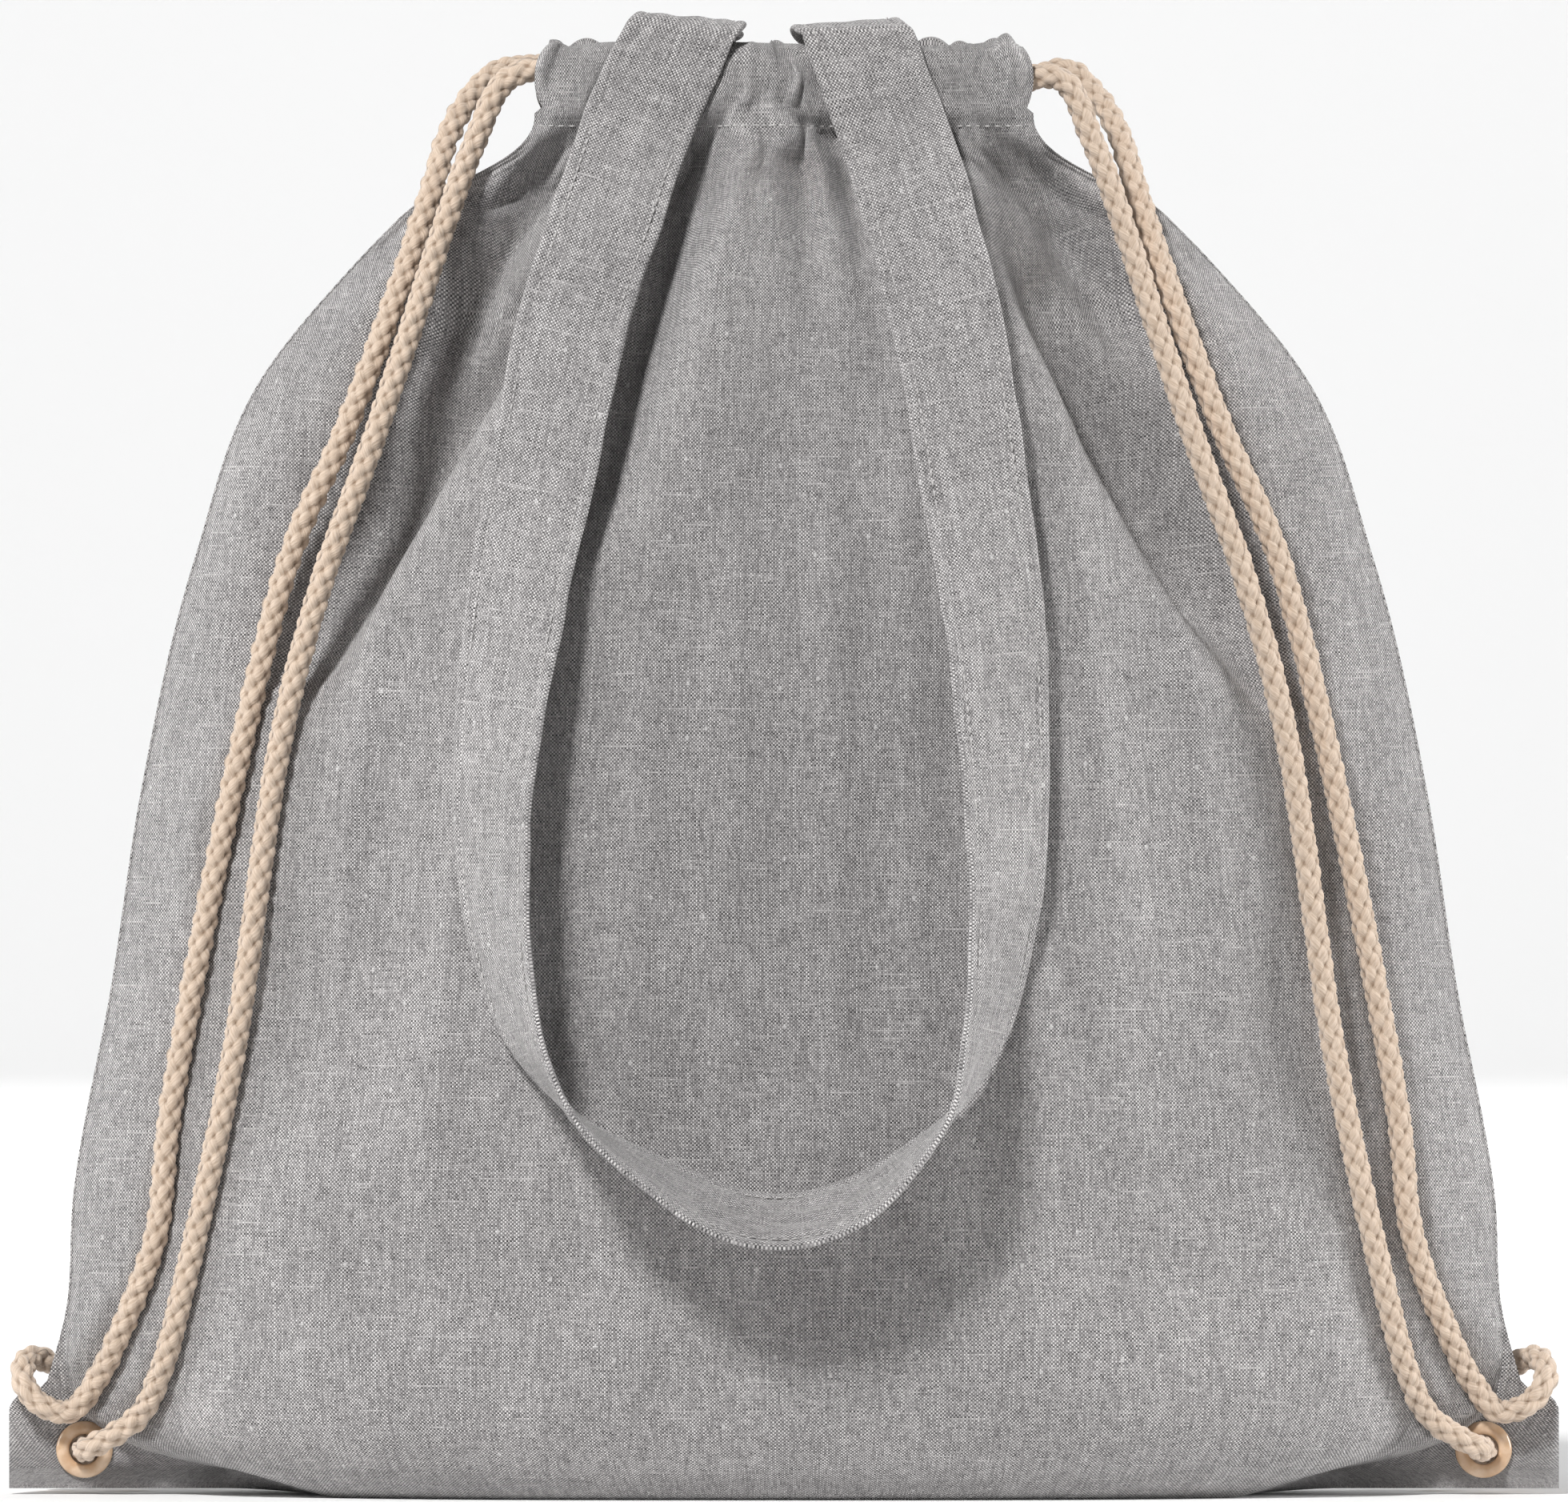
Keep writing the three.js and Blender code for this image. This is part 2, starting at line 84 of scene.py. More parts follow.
CASING_Y = 0.015
CASING_HALF_LENGTH = 0.061
CASING_WALL_Y = 0.0051
CASING_TOP = 0.3552
CASING_MIDDLE_Z = 0.3465
CASING_NARROWING = 0.055
TURN_OPENING_X = 0.040
HEM_Z = 0.334
HEM_GROOVE = 0.0003
RUFFLE_HEIGHT = 0.0058
RUFFLE_DIP = 0.0007
DIP_SLOPE = 0.75
RUFFLE_SWAY = 0.0013

# Half the width at the side seams, as a share of half the bag's width, over the share of the height.
SIDE_SHARE = [
    (0.08, 0.952),
    (0.13, 0.928),
    (0.215, 0.918),
    (0.37, 0.868),
    (0.51, 0.83),
    (0.68, 0.76),
    (0.815, 0.668),
    (0.885, 0.566),
    (0.945, 0.46),
    (1, 0.345),
]
# How far the belly stands out, as a share of its depth, over the share of the height.
BELLY_SHARE = [
    (0, 0.74),
    (0.012, 0.83),
    (0.036, 0.895),
    (0.09, 0.945),
    (0.18, 0.985),
    (0.3, 1),
    (0.45, 0.975),
    (0.6, 0.92),
    (0.71, 0.835),
    (0.8, 0.735),
    (0.89, 0.585),
    (0.945, 0.44),
    (0.98, 0.32),
    (1, 0.275),
]


def profile(pairs, at):
    """A smooth value through (place, value) pairs, held level beyond the first and the last."""
    places, values = np.array(pairs, float).T
    at = np.asarray(at, float)
    slopes = np.gradient(values, places)
    i = np.clip(np.searchsorted(places, at) - 1, 0, len(places) - 2)
    step = places[i + 1] - places[i]
    t = np.clip((at - places[i]) / step, 0, 1)
    rise = values[i] * (1 + 2 * t) * (1 - t) ** 2 + values[i + 1] * t**2 * (3 - 2 * t)
    return rise + step * t * (1 - t) * (slopes[i] * (1 - t) - slopes[i + 1] * t)


def smoothstep(value, low, high):
    t = np.clip((value - low) / (high - low), 0, 1)
    return t * t * (3 - 2 * t)


def mix(a, b, share):
    return a + (b - a) * share


def side_half_width(height):
    return profile(SIDE_SHARE, height / PANEL_HEIGHT) * BAG_WIDTH / 2


def belly_half_width(height):
    """Half the width of the filled part, which draws in to the base below its bottom corners."""
    above = side_half_width(height) - SEAM_ALLOWANCE
    corner = BAG_WIDTH / 2 - BELLY_CORNER
    full = side_half_width(BELLY_CORNER_HEIGHT) - SEAM_ALLOWANCE
    left = np.maximum(0, 1 - height / BELLY_CORNER_HEIGHT)
    below = full - (full - corner) * left**BELLY_CORNER_ROUND
    return np.where(height < BELLY_CORNER_HEIGHT, below, above)


def edge_half_width(height):
    """Half the width of the whole cloth, with the flat tab at the bottom corner."""
    inside = side_half_width(height)
    stepped = smoothstep(height, TAB_HEIGHT, TAB_HEIGHT + TAB_SHOULDER)
    rounded = TAB_ROUNDING * np.clip(1 - (TAB_HEIGHT - height) / TAB_ROUNDING_HEIGHT, 0, 1) ** 2
    return mix(BAG_WIDTH / 2 - rounded, inside, stepped)


def bulge(share, height):
    """How much of its full depth the belly has at a share of its half width."""
    power = mix(BELLY_ROUNDNESS, HEM_ROUNDNESS, smoothstep(height, STRAIGHTENS_FROM, PANEL_HEIGHT))
    power = power + BASE_FULLNESS * (1 - smoothstep(height, *BASE_EASES))
    return np.maximum(0, 1 - np.abs(share) ** power) ** BELLY_EASE


def belly_front(x, z):
    """The y of the front half's outer face."""
    height = np.clip(z, 0, PANEL_HEIGHT)
    share = np.clip(np.abs(x) / belly_half_width(height), 0, 1)
    belly = profile(BELLY_SHARE, height / PANEL_HEIGHT)
    return -(SEAM_FACE + BELLY_DEPTH * belly * bulge(share, height))


def ripple(x, z, wavelength, seed, count=9):
    """Smooth unevenness of about the given wavelength, from -1 to 1 for the most part."""
    draw = np.random.default_rng(seed)
    total = np.zeros(np.broadcast(x, z).shape)
    for _ in range(count):
        angle = draw.uniform(0, 2 * math.pi)
        turns = draw.uniform(0.7, 1.4) / wavelength
        phase = draw.uniform(0, 2 * math.pi)
        along = x * math.cos(angle) + z * math.sin(angle)
        total += np.sin(2 * math.pi * turns * along + phase)
    return total / math.sqrt(count)


CREASE_STEPS = 12


def crease(x, z, points, near, far):
    """How deep the cloth lies in a crease along (x, z, depth) points, in millimetres. The crease is
    as wide as near on the left of its run and as far on the right."""
    points = np.array(points, float)
    fine = np.linspace(0, len(points) - 1, CREASE_STEPS * len(points))
    whole = np.arange(len(points))
    line = np.stack([profile(np.stack([whole, points[:, k]], 1), fine) for k in range(3)], 1)
    run = np.gradient(line[:, :2], axis=0)
    run /= np.linalg.norm(run, axis=1, keepdims=True)
    place = np.stack([x, z], -1).reshape(-1, 2) / MM
    offset = place[:, None, :] - line[None, :, :2]
    distance = np.linalg.norm(offset, axis=2)
    nearest = distance.argmin(1)
    picked = np.arange(len(place))
    away = offset[picked, nearest]
    direction = run[nearest]
    on_left = direction[:, 0] * away[:, 1] - direction[:, 1] * away[:, 0] > 0
    width = np.where(on_left, near, far)
    depth = line[nearest, 2] * np.exp(-((distance[picked, nearest] / width) ** 2))
    return depth.reshape(x.shape) * MM


BASE_ROWS = 16
WALL_ROWS = 136
OVER_ROWS = 34
BELLY_COLUMNS = 156
FLAT_COLUMNS = 16
# Rows are closer at the base and the hem, and columns are closer at the sides.
ROW_CROWDING = 0.06
COLUMN_CROWDING = 0.3
# The shares of the way over the cords: the casing's top line, where its back wall starts, and how
# much of the back wall is left where the cord turns back through an opening.
TOP_LINE = 0.45
BACK_WALL = 0.52
OPEN_SHARE = 0.12


def casing_section(over):
    """The outer face's path over the cords, as (depth behind the casing's middle, height), for a
    share from 0 at the front of the hem to 1 where the turned-in edge is sewn down."""
    path = [
        (0, -CASING_WALL_Y, PANEL_HEIGHT + 0.0003),
        (0.28, -CASING_WALL_Y, 0.3502),
        (0.36, -0.0040, 0.3537),
        (TOP_LINE, 0, CASING_TOP),
        (0.54, 0.0040, 0.3537),
        (0.62, CASING_WALL_Y, 0.3502),
        (0.84, CASING_WALL_Y, 0.3405),
        (0.92, 0.0034, 0.3372),
        (1, -0.0008, 0.3350),
    ]
    shares = [row[0] for row in path]
    depth = np.interp(over, shares, [row[1] for row in path])
    height = np.interp(over, shares, [row[2] for row in path])
    return depth, height


def gathers(share, count, seed):
    """Rounded folds with tight creases between them, uneven in width, from -1 to 1."""
    draw = np.random.default_rng(seed)
    uneven = 0
    for turns in (1, 2, 3, 5):
        size = draw.uniform(-0.9, 0.9) / turns
        uneven = uneven + size * np.sin(math.pi * turns * share + draw.uniform(0, 2 * math.pi))
    phase = math.pi * count * share + 2.2 * uneven
    return 2 * np.abs(np.cos(phase / 2)) ** 0.75 - 1


def bell(away, width):
    """1 where away is 0, and falling off on both sides over about the given width."""
    return np.exp(-((away / width) ** 2))


# The folds across half the bag, and their height in millimetres over the share of the height.
FINE_FOLDS = 13
BROAD_FOLDS = 7
FINE_GATHERS = [(0, 0), (0.84, 0), (0.9, 0.5), (0.95, 1.5), (0.985, 2.2), (1, 1.6)]
BROAD_GATHERS = [(0, 0), (0.7, 0), (0.8, 0.7), (0.9, 1.8), (0.97, 2.2), (1, 1.2)]
GATHERS_BEHIND = 0.15
RUFFLES_FROM = 0.945 * PANEL_HEIGHT
RUFFLE_SHARE = 0.8
TOP_FLATTENING = 0.62
TOP_LINE_WIDTH = 0.11


def gathered_lift(cloth_share, height, over, seed):
    """How far the gathers lift the cloth: folds that grow up the wall, then ruffles over the cords."""
    fine = gathers(cloth_share, FINE_FOLDS, seed + 1)
    broad = gathers(cloth_share * (1 + 0.06 * np.sin(height * 40)), BROAD_FOLDS, seed + 2)
    lift = profile(FINE_GATHERS, height / PANEL_HEIGHT) * MM * fine
    lift = lift + profile(BROAD_GATHERS, height / PANEL_HEIGHT) * MM * broad
    lift *= np.where(over > BACK_WALL, GATHERS_BEHIND, 1)
    ruffle = RUFFLE_HEIGHT * (0.5 + 0.5 * fine) * (0.75 + 0.35 * broad)
    ruffle = ruffle * (1 - TOP_FLATTENING * bell(over - TOP_LINE, TOP_LINE_WIDTH))
    near_hem = smoothstep(height, RUFFLES_FROM, PANEL_HEIGHT) * (over < BACK_WALL)
    return mix(lift, ruffle, RUFFLE_SHARE * near_hem)


# Each wave's height in millimetres, its length, and how much the height counts in it.
WAVES = [(1.3, 0.11, 1), (0.5, 0.045, 1), (0.16, 0.017, 0.6)]
PUCKER_HEIGHT = 0.00045
PUCKER_REACH = 0.007
GROOVE_WIDTH = 0.0014
SEAM_SHOWS_FROM = (0.03, 0.05)
SEAM_SHOWS_TO = (0.27, 0.30)


def unevenness(x, z, height, quiet, joined, seed):
    """Broad waves and small crinkles all over, and puckers along the groove of the side seam."""
    lift = 0
    for number, (size, wavelength, upright) in enumerate(WAVES):
        lift = lift + quiet * size * MM * ripple(x, z * upright, wavelength, seed + 3 + number)
    from_seam = edge_half_width(height) - np.abs(x) - STITCHED_EDGE
    shows = smoothstep(height, *SEAM_SHOWS_FROM) * (1 - smoothstep(height, *SEAM_SHOWS_TO))
    puckers = bell(from_seam, PUCKER_REACH) * PUCKER_HEIGHT * ripple(0.1 * x, z, 0.012, seed + 6)
    groove = STITCH_GROOVE * bell(from_seam, GROOVE_WIDTH)
    return lift + shows * ((1 - joined) * puckers - groove)


FLAT_FROM = 0.78
QUIET_BASE = (0.004, 0.030)
QUIET_SIDE = (0.93, 1)
STEADY_SIDE = (0.84, 0.96)
JOINED = (PANEL_HEIGHT - 0.024, PANEL_HEIGHT)
BROUGHT_FORWARD = (PANEL_HEIGHT - 0.042, PANEL_HEIGHT - 0.004)
AT_HEM = (0.985 * PANEL_HEIGHT, PANEL_HEIGHT)
OPENING_EDGE = (TURN_OPENING_X - 0.002, TURN_OPENING_X + 0.003)
TAB_SPREAD = TAB_HEIGHT / 5
TAB_SPREAD_HEIGHT = 1.2 * TAB_HEIGHT
CASING_END_ROUND = 0.93
CASING_END_DEPTH = 0.8
HEM_GROOVE_WIDTH = 0.0022


def half_bag(creases, seed):
    """The outer face of one half, as rows of points from the base seam to the turned-in hem, with
    how flat each point lies on the other half and its place in the flat cut."""
    wall = np.linspace(0, 1, WALL_ROWS + 1)[1:]
    wall = wall - ROW_CROWDING * np.sin(2 * math.pi * wall)
    top_rows = np.full(OVER_ROWS, PANEL_HEIGHT)
    heights = np.concatenate([np.zeros(BASE_ROWS + 1), wall * PANEL_HEIGHT, top_rows])
    row = np.arange(len(heights))[:, None]
    on_base = np.clip(row / BASE_ROWS, 0, 1)
    over = np.clip(row - BASE_ROWS - WALL_ROWS, 0, OVER_ROWS) / OVER_ROWS
    height = heights[:, None]

    across = np.linspace(-1, 1, BELLY_COLUMNS + 1)
    across = (1 + COLUMN_CROWDING) * across - COLUMN_CROWDING * across**3
    ends = np.ones(FLAT_COLUMNS)
    flat_share = np.arange(1, FLAT_COLUMNS + 1) / FLAT_COLUMNS
    share = np.concatenate([-ends, across, ends])[None, :]
    beyond = np.concatenate([-flat_share[::-1], 0 * across, flat_share])[None, :]

    # the belly, and the flat rim and tabs beyond it
    belly = belly_half_width(height)
    edge = edge_half_width(height)
    x = share * belly + beyond * (edge - belly)
    flat = smoothstep(np.abs(share), FLAT_FROM, 1) + 0 * x
    spread = TAB_LIFT + on_base * TAB_SPREAD
    tab_z = height + spread * np.maximum(0, 1 - height / TAB_SPREAD_HEIGHT) ** 2
    stand = BELLY_DEPTH * profile(BELLY_SHARE, height / PANEL_HEIGHT) * bulge(share, height)
    seam = BASE_SEAM_GAP + SIDE_SEAM_GAP * np.maximum(flat, on_base)
    y = -(seam + on_base * stand)
    z = mix(height + 0 * x, tab_z, flat)

    # the hem over the cords, with its back wall left out where a cord turns back
    cloth_share = x / edge
    depth, top = casing_section(over)
    mouth_open = smoothstep(np.abs(cloth_share) * CASING_HALF_LENGTH, *OPENING_EDGE)
    depth_open, top_open = casing_section(np.minimum(over, TOP_LINE + OPEN_SHARE * over))
    depth = mix(depth + 0 * x, depth_open, mouth_open)
    top = mix(top + 0 * x, top_open, mouth_open)
    in_casing = over > 0
    joined = smoothstep(height, *JOINED) + 0 * x
    x = mix(x, cloth_share * CASING_HALF_LENGTH, joined)
    rounded = np.sqrt(np.maximum(0, 1 - (np.abs(cloth_share) * CASING_END_ROUND) ** 8))
    casing_y = -CASING_Y + depth * mix(CASING_END_DEPTH, 1, rounded)
    y = mix(y, casing_y, smoothstep(height, *BROUGHT_FORWARD))
    z = np.where(in_casing, top, z)

    points = np.stack([x, y, z], -1)
    uv = cloth_coordinates(points)
    normal = grid_normals(points)
    quiet = smoothstep(height, *QUIET_BASE) * (1 - smoothstep(np.abs(share), *QUIET_SIDE))
    lift = gathered_lift(cloth_share, height, over, seed)
    for points_of_crease, near, far in creases:
        lift -= crease(x, z, points_of_crease, near, far) * np.where(over > 0.5, 0, 1)
    lift = np.maximum(lift, -RUFFLE_DIP - DIP_SLOPE * (PANEL_HEIGHT - height))
    lift += unevenness(x, z, height, quiet, joined, seed)
    lift -= HEM_GROOVE * bell(height - HEM_Z, HEM_GROOVE_WIDTH) * np.where(in_casing, 0, 1)
    steady = 1 - smoothstep(np.abs(cloth_share), *STEADY_SIDE)
    lift *= mix(steady, 1, smoothstep(height, *AT_HEM))
    points = points + normal * (lift * mix(1, mix(quiet, 1, joined), 0.9))[..., None]

    # the rows sway sideways in the ruffles, and the cords draw the casing's ends together
    middle_share = 1 - np.abs(cloth_share) ** 3
    points[..., 0] += joined * middle_share * RUFFLE_SWAY * ripple(x, 2 * z, 0.02, seed + 7)
    from_middle = (points[..., 2] - CASING_MIDDLE_Z) / (CASING_TOP - CASING_MIDDLE_Z)
    drawn_in = CASING_NARROWING * np.clip(np.abs(from_middle), 0, 1) ** 2.5 * in_casing
    points[..., 0] *= 1 - drawn_in * np.abs(cloth_share) ** 6
    return points, flat, uv


def cloth_coordinates(points):
    """Where each point lies in the flat cut, in millimetres. The gathers take up most of the width
    that the top loses, and a whole row lies on one weft thread."""
    rows, columns = points.shape[:2]
    steps_across = np.linalg.norm(np.diff(points, axis=1), axis=2)
    steps_along = np.linalg.norm(np.diff(points, axis=0), axis=2)
    across = np.concatenate([np.zeros((rows, 1)), np.cumsum(steps_across, 1)], 1)
    belly_start = across[:, [FLAT_COLUMNS]]
    half = (across[:, [-1 - FLAT_COLUMNS]] - belly_start) / 2
    share = (across - belly_start) / half - 1
    full = half.max()
    u = share * full * (half / full) ** THREAD_SPREAD
    v = np.concatenate([[0], np.cumsum(steps_along.mean(1))])[:, None] + 0 * u
    return np.stack([u, v], -1).reshape(-1, 2) / MM


def grid_normals(points):
    """The outward direction at each point of a grid."""
    along = np.gradient(points, axis=0)
    across = np.gradient(points, axis=1)
    normal = np.cross(across, along)
    return normal / np.maximum(np.linalg.norm(normal, axis=-1, keepdims=True), 1e-12)


# Each crease is its (x, z, depth) points in millimetres, and its width on the left and the right.
FRONT_CREASES = [
    # the broad hollows that run from the gathered top out to the cords, sharp along the belly's side
    ([(-50, 330, 3), (-60, 307, 13), (-71, 286, 22), (-87, 258, 26),
      (-101, 233, 22), (-113, 210, 11), (-123, 192, 0)], 6, 18),
    ([(47, 330, 3), (58, 307, 13), (70, 283, 22), (85, 254, 26),
      (99, 229, 22), (113, 207, 11), (123, 190, 0)], 18, 6),
    ([(-45, 346, 5), (-57, 329, 9), (-69, 313, 11), (-83, 293, 8), (-97, 271, 0)], 5, 10),
    ([(45, 346, 5), (57, 328, 9), (71, 311, 11), (85, 292, 8), (98, 273, 0)], 10, 5),
    # beside the left handle
    ([(-17, 346, 5), (-23, 324, 9), (-30, 300, 11), (-38, 275, 9), (-44, 250, 6), (-50, 225, 0)], 7, 7),
    ([(-4, 345, -1), (-9, 325, -5), (-15, 302, -7),
      (-19, 277, -7), (-23, 252, -4), (-26, 222, 0)], 8, 9),
    # the tight gathers between the handles
    ([(-12.5, 356, 5), (-13, 350, 8), (-15, 340, 8), (-18, 328, 5), (-20, 312, 0)], 2.5, 3),
    ([(1, 356, 5), (0, 350, 8), (0, 341, 8), (6, 335, 5), (16, 332, 0)], 2.5, 3),
    ([(-6.5, 356, 4), (-6, 350, 6), (-7, 341, 5), (-9, 332, 0)], 2, 2),
    ([(7, 356, 4), (9, 347, 6), (13, 336, 6), (19, 318, 5), (25, 296, 0)], 2.5, 5),
    ([(-3, 338, 0), (2, 328, 3), (5, 312, 4), (6, 292, 2), (6, 270, 0)], 4, 5),
    ([(36, 356, 4), (37, 345, 6), (41, 333, 5), (47, 318, 0)], 3, 4),
    ([(47, 356, 3), (48, 346, 5), (53, 336, 4), (60, 326, 0)], 2.5, 3),
    ([(-44, 356, 4), (-45, 345, 6), (-48, 335, 5), (-53, 322, 0)], 4, 3),
    ([(-53, 356, 3), (-53, 346, 5), (-57, 336, 4), (-64, 326, 0)], 2.5, 3),
]
BACK_CREASES = [
    ([(-50, 330, 2), (-58, 307, 8), (-70, 280, 12),
      (-86, 250, 12), (-101, 222, 7), (-113, 200, 0)], 9, 15),
    ([(45, 332, 2), (56, 307, 7), (69, 278, 12), (85, 248, 13), (101, 219, 8), (114, 194, 0)], 15, 9),
    ([(-20, 346, 4), (-24, 325, 7), (-28, 295, 7), (-36, 262, 5), (-41, 235, 0)], 7, 9),
    ([(22, 346, 4), (27, 324, 6), (33, 296, 6), (36, 262, 3), (39, 240, 0)], 8, 7),
    ([(2, 356, 3), (2, 345, 5), (0, 332, 4), (-2, 312, 0)], 3, 3),
    ([(-8, 356, 3), (-9, 345, 4), (-12, 333, 2), (-14, 318, 0)], 3, 2),
    ([(4, 336, 0), (6, 318, -3), (8, 292, -4), (9, 262, -3), (8, 232, 0)], 8, 6),
]

EYELET_X = 0.1715
EYELET_Z = 0.011
EYELET_HOLE_RADIUS = 0.0048
TAB_REACH_Y = 0.012


def open_eyelets(points, quads):
    """Leaves out the squares over each eyelet and rounds the hole's edge."""
    kept = np.ones(len(quads), bool)
    for side in (-1, 1):
        centre = np.array([side * EYELET_X, EYELET_Z])
        away = points[:, [0, 2]] - centre
        radius = np.linalg.norm(away, axis=1)
        inside = (np.abs(points[:, 1]) < TAB_REACH_Y) & (radius < EYELET_HOLE_RADIUS)
        kept &= ~inside[quads].all(1)
        grown = EYELET_HOLE_RADIUS / np.maximum(radius[inside], 1e-6)
        points[np.ix_(inside, [0, 2])] = centre + away[inside] * grown[:, None]
    return quads[kept]


def grid_quads(rows, columns):
    index = np.arange(rows * columns).reshape(rows, columns)
    corners = [index[:-1, :-1], index[:-1, 1:], index[1:, 1:], index[1:, :-1]]
    return np.stack([corner.ravel() for corner in corners], 1)


def edge_walls(quads, count):
    """Squares that join the outer and the inner face along every free edge of the outer one."""
    sides = np.concatenate([quads[:, [k, (k + 1) % 4]] for k in range(4)])
    key = np.sort(sides, axis=1)
    _, first, uses = np.unique(key, axis=0, return_index=True, return_counts=True)
    free = sides[first[uses == 1]]
    return np.stack([free[:, 1], free[:, 0], free[:, 0] + count, free[:, 1] + count], 1)


def mesh_piece(name, points, faces, corner_uv=None):
    mesh = bpy.data.meshes.new(name)
    mesh.from_pydata(points.tolist(), [], faces.tolist())
    if corner_uv is not None:
        layer = mesh.uv_layers.new(name="cloth")
        layer.data.foreach_set("uv", corner_uv[faces].reshape(-1).astype(np.float32))
    mesh.shade_smooth()
    mesh.update()
    piece = bpy.data.objects.new(name, mesh)
    bpy.context.scene.collection.objects.link(piece)
    return piece


SEWN_FLAT = 0.98


def cloth_piece(name, outer, flat, uv, facing):
    """A closed mesh of two faces: each point of the outer face has one under it on the inner face."""
    rows, columns = flat.shape
    thickness = mix(CLOTH_THICKNESS, HEM_THICKNESS, flat)
    inner = outer - grid_normals(outer) * thickness[..., None]
    sewn = flat > SEWN_FLAT
    inner[sewn] = outer[sewn] + np.array([0, 1, 0]) * thickness[sewn][:, None]
    inner[..., 1] = np.minimum(inner[..., 1], -HALF_GAP)
    flip = np.array([1, facing, 1])
    outside = (outer * flip).reshape(-1, 3)
    inside = (inner * flip).reshape(-1, 3)
    quads = open_eyelets(outside, grid_quads(rows, columns))
    open_eyelets(inside, grid_quads(rows, columns))
    walls = edge_walls(quads, len(outside))
    faces = np.concatenate([quads, quads[:, ::-1] + len(outside), walls])
    if facing < 0:
        faces = faces[:, ::-1]
    return mesh_piece(name, np.concatenate([outside, inside]), faces, np.concatenate([uv, uv]))


FRONT_SEED = 10
BACK_SEED = 40
BACK_CUT_FROM = 500
front_points, front_flat, front_uv = half_bag(FRONT_CREASES, FRONT_SEED)
back_points, back_flat, back_uv = half_bag(BACK_CREASES, BACK_SEED)
front_cloth = cloth_piece("front_cloth", front_points, front_flat, front_uv, 1)
back_cloth = cloth_piece("back_cloth", back_points, back_flat, back_uv + BACK_CUT_FROM, -1)
cloth_rows, cloth_columns = front_flat.shape


class Shade:
    """The output of a material's node. Sums and products of shades add Math nodes."""

    def __init__(self, tree, socket):
        self.tree = tree
        self.socket = socket

    def node(self, kind, output, settings=(), inputs=()):
        """A new node's output. Its settings are set first, then the values or links of its sockets."""
        made = self.tree.nodes.new("ShaderNode" + kind)
        for name, value in dict(settings).items():
            setattr(made, name, value)
        for name, value in dict(inputs).items():
            if isinstance(value, Shade):
                self.tree.links.new(value.socket, made.inputs[name])
            else:
                made.inputs[name].default_value = value
        return Shade(self.tree, made.outputs[output])

    def feed(self, shader_input):
        """Links this shade to a socket of the material's own shader."""
        self.tree.links.new(self.socket, shader_input)

    def math(self, operation, *others):
        return self.node("Math", 0, {"operation": operation}, dict(enumerate((self, *others))))

    def __add__(self, other):
        return self.math("ADD", other)

    __radd__ = __add__

    def __sub__(self, other):
        return self.math("SUBTRACT", other)

    def __rsub__(self, other):
        return self.node("Math", 0, {"operation": "SUBTRACT"}, {0: other, 1: self})

    def __mul__(self, other):
        return self.math("MULTIPLY", other)

    __rmul__ = __mul__

    def between(self, low, high):
        """0 below low, 1 above high, and smooth in between."""
        ends = {"Value": self, "From Min": low, "From Max": high}
        return self.node("MapRange", 0, {"interpolation_type": "SMOOTHSTEP"}, ends)

    def blend(self, first, second):
        """A colour between two, by this shade as the share of the second."""
        first, second = (end if isinstance(end, Shade) else (*end, 1) for end in (first, second))
        return self.node("Mix", 2, {"data_type": "RGBA"}, {0: self, 6: first, 7: second})

    def part(self, axis):
        """One of the three numbers of a place."""
        return self.node("SeparateXYZ", axis, (), {0: self})

    def darken(self, colour):
        """A colour times this shade."""
        settings = {"data_type": "RGBA", "blend_type": "MULTIPLY"}
        grey = self.node("CombineXYZ", 0, (), {0: self, 1: self, 2: self})
        return self.node("Mix", 2, settings, {0: 1.0, 6: colour, 7: grey})

    def chance(self, x, y):
        """A value that jumps at random from one pair of numbers to the next."""
        place = self.node("CombineXYZ", 0, (), {0: x, 1: y})
        return self.node("TexWhiteNoise", "Value", {"noise_dimensions": "2D"}, {"Vector": place})

    def noise(self, x, y, detail=0.0):
        """Smooth noise over two shades that count its cells."""
        place = self.node("CombineXYZ", 0, (), {0: x, 1: y})
        settings = {"noise_dimensions": "2D"}
        return self.node("TexNoise", 0, settings, {"Vector": place, "Scale": 1.0, "Detail": detail})


def new_material(name, **values):
    """A material, its shader with the given values on its own sockets, and a start for its nodes."""
    material = bpy.data.materials.new(name)
    material.use_nodes = True
    shader = material.node_tree.nodes["Principled BSDF"]
    for label, value in values.items():
        shader.inputs[label.replace("_", " ")].default_value = value
    return material, shader, Shade(material.node_tree, None)


def colour_and_bump(shader, colour, height, depth):
    """Gives the shader its colour, and a bump whose full height is depth metres."""
    colour.feed(shader.inputs["Base Color"])
    bump = height.node("Bump", 0, (), {"Height": height, "Distance": depth, "Strength": 1.0})
    bump.feed(shader.inputs["Normal"])


THREAD_PITCH = 0.46
WARP_LIGHT = (0.9, 0.87, 0.86)
WARP_DARK = (0.33, 0.315, 0.315)
WEFT_LIGHT = (0.34, 0.325, 0.325)
WEFT_DARK = (0.035, 0.033, 0.034)
SLUB_LIGHT = (0.9, 0.88, 0.87)
THREAD_WANDER = 0.35
TONE_RUN = 0.16
RUN_SHARE = 0.6
SLUB_STARTS = (0.62, 0.72)
CROSS_SLUB_STARTS = (0.68, 0.8)
YARN_KNOT_SIZE = (0.012, 0.03)
# How dark the painted shade in the hollows between threads makes the colour, at each thread's edge.
SHADE_BETWEEN_THREADS = 0.52
WEAVE_RELIEF = 0.00016


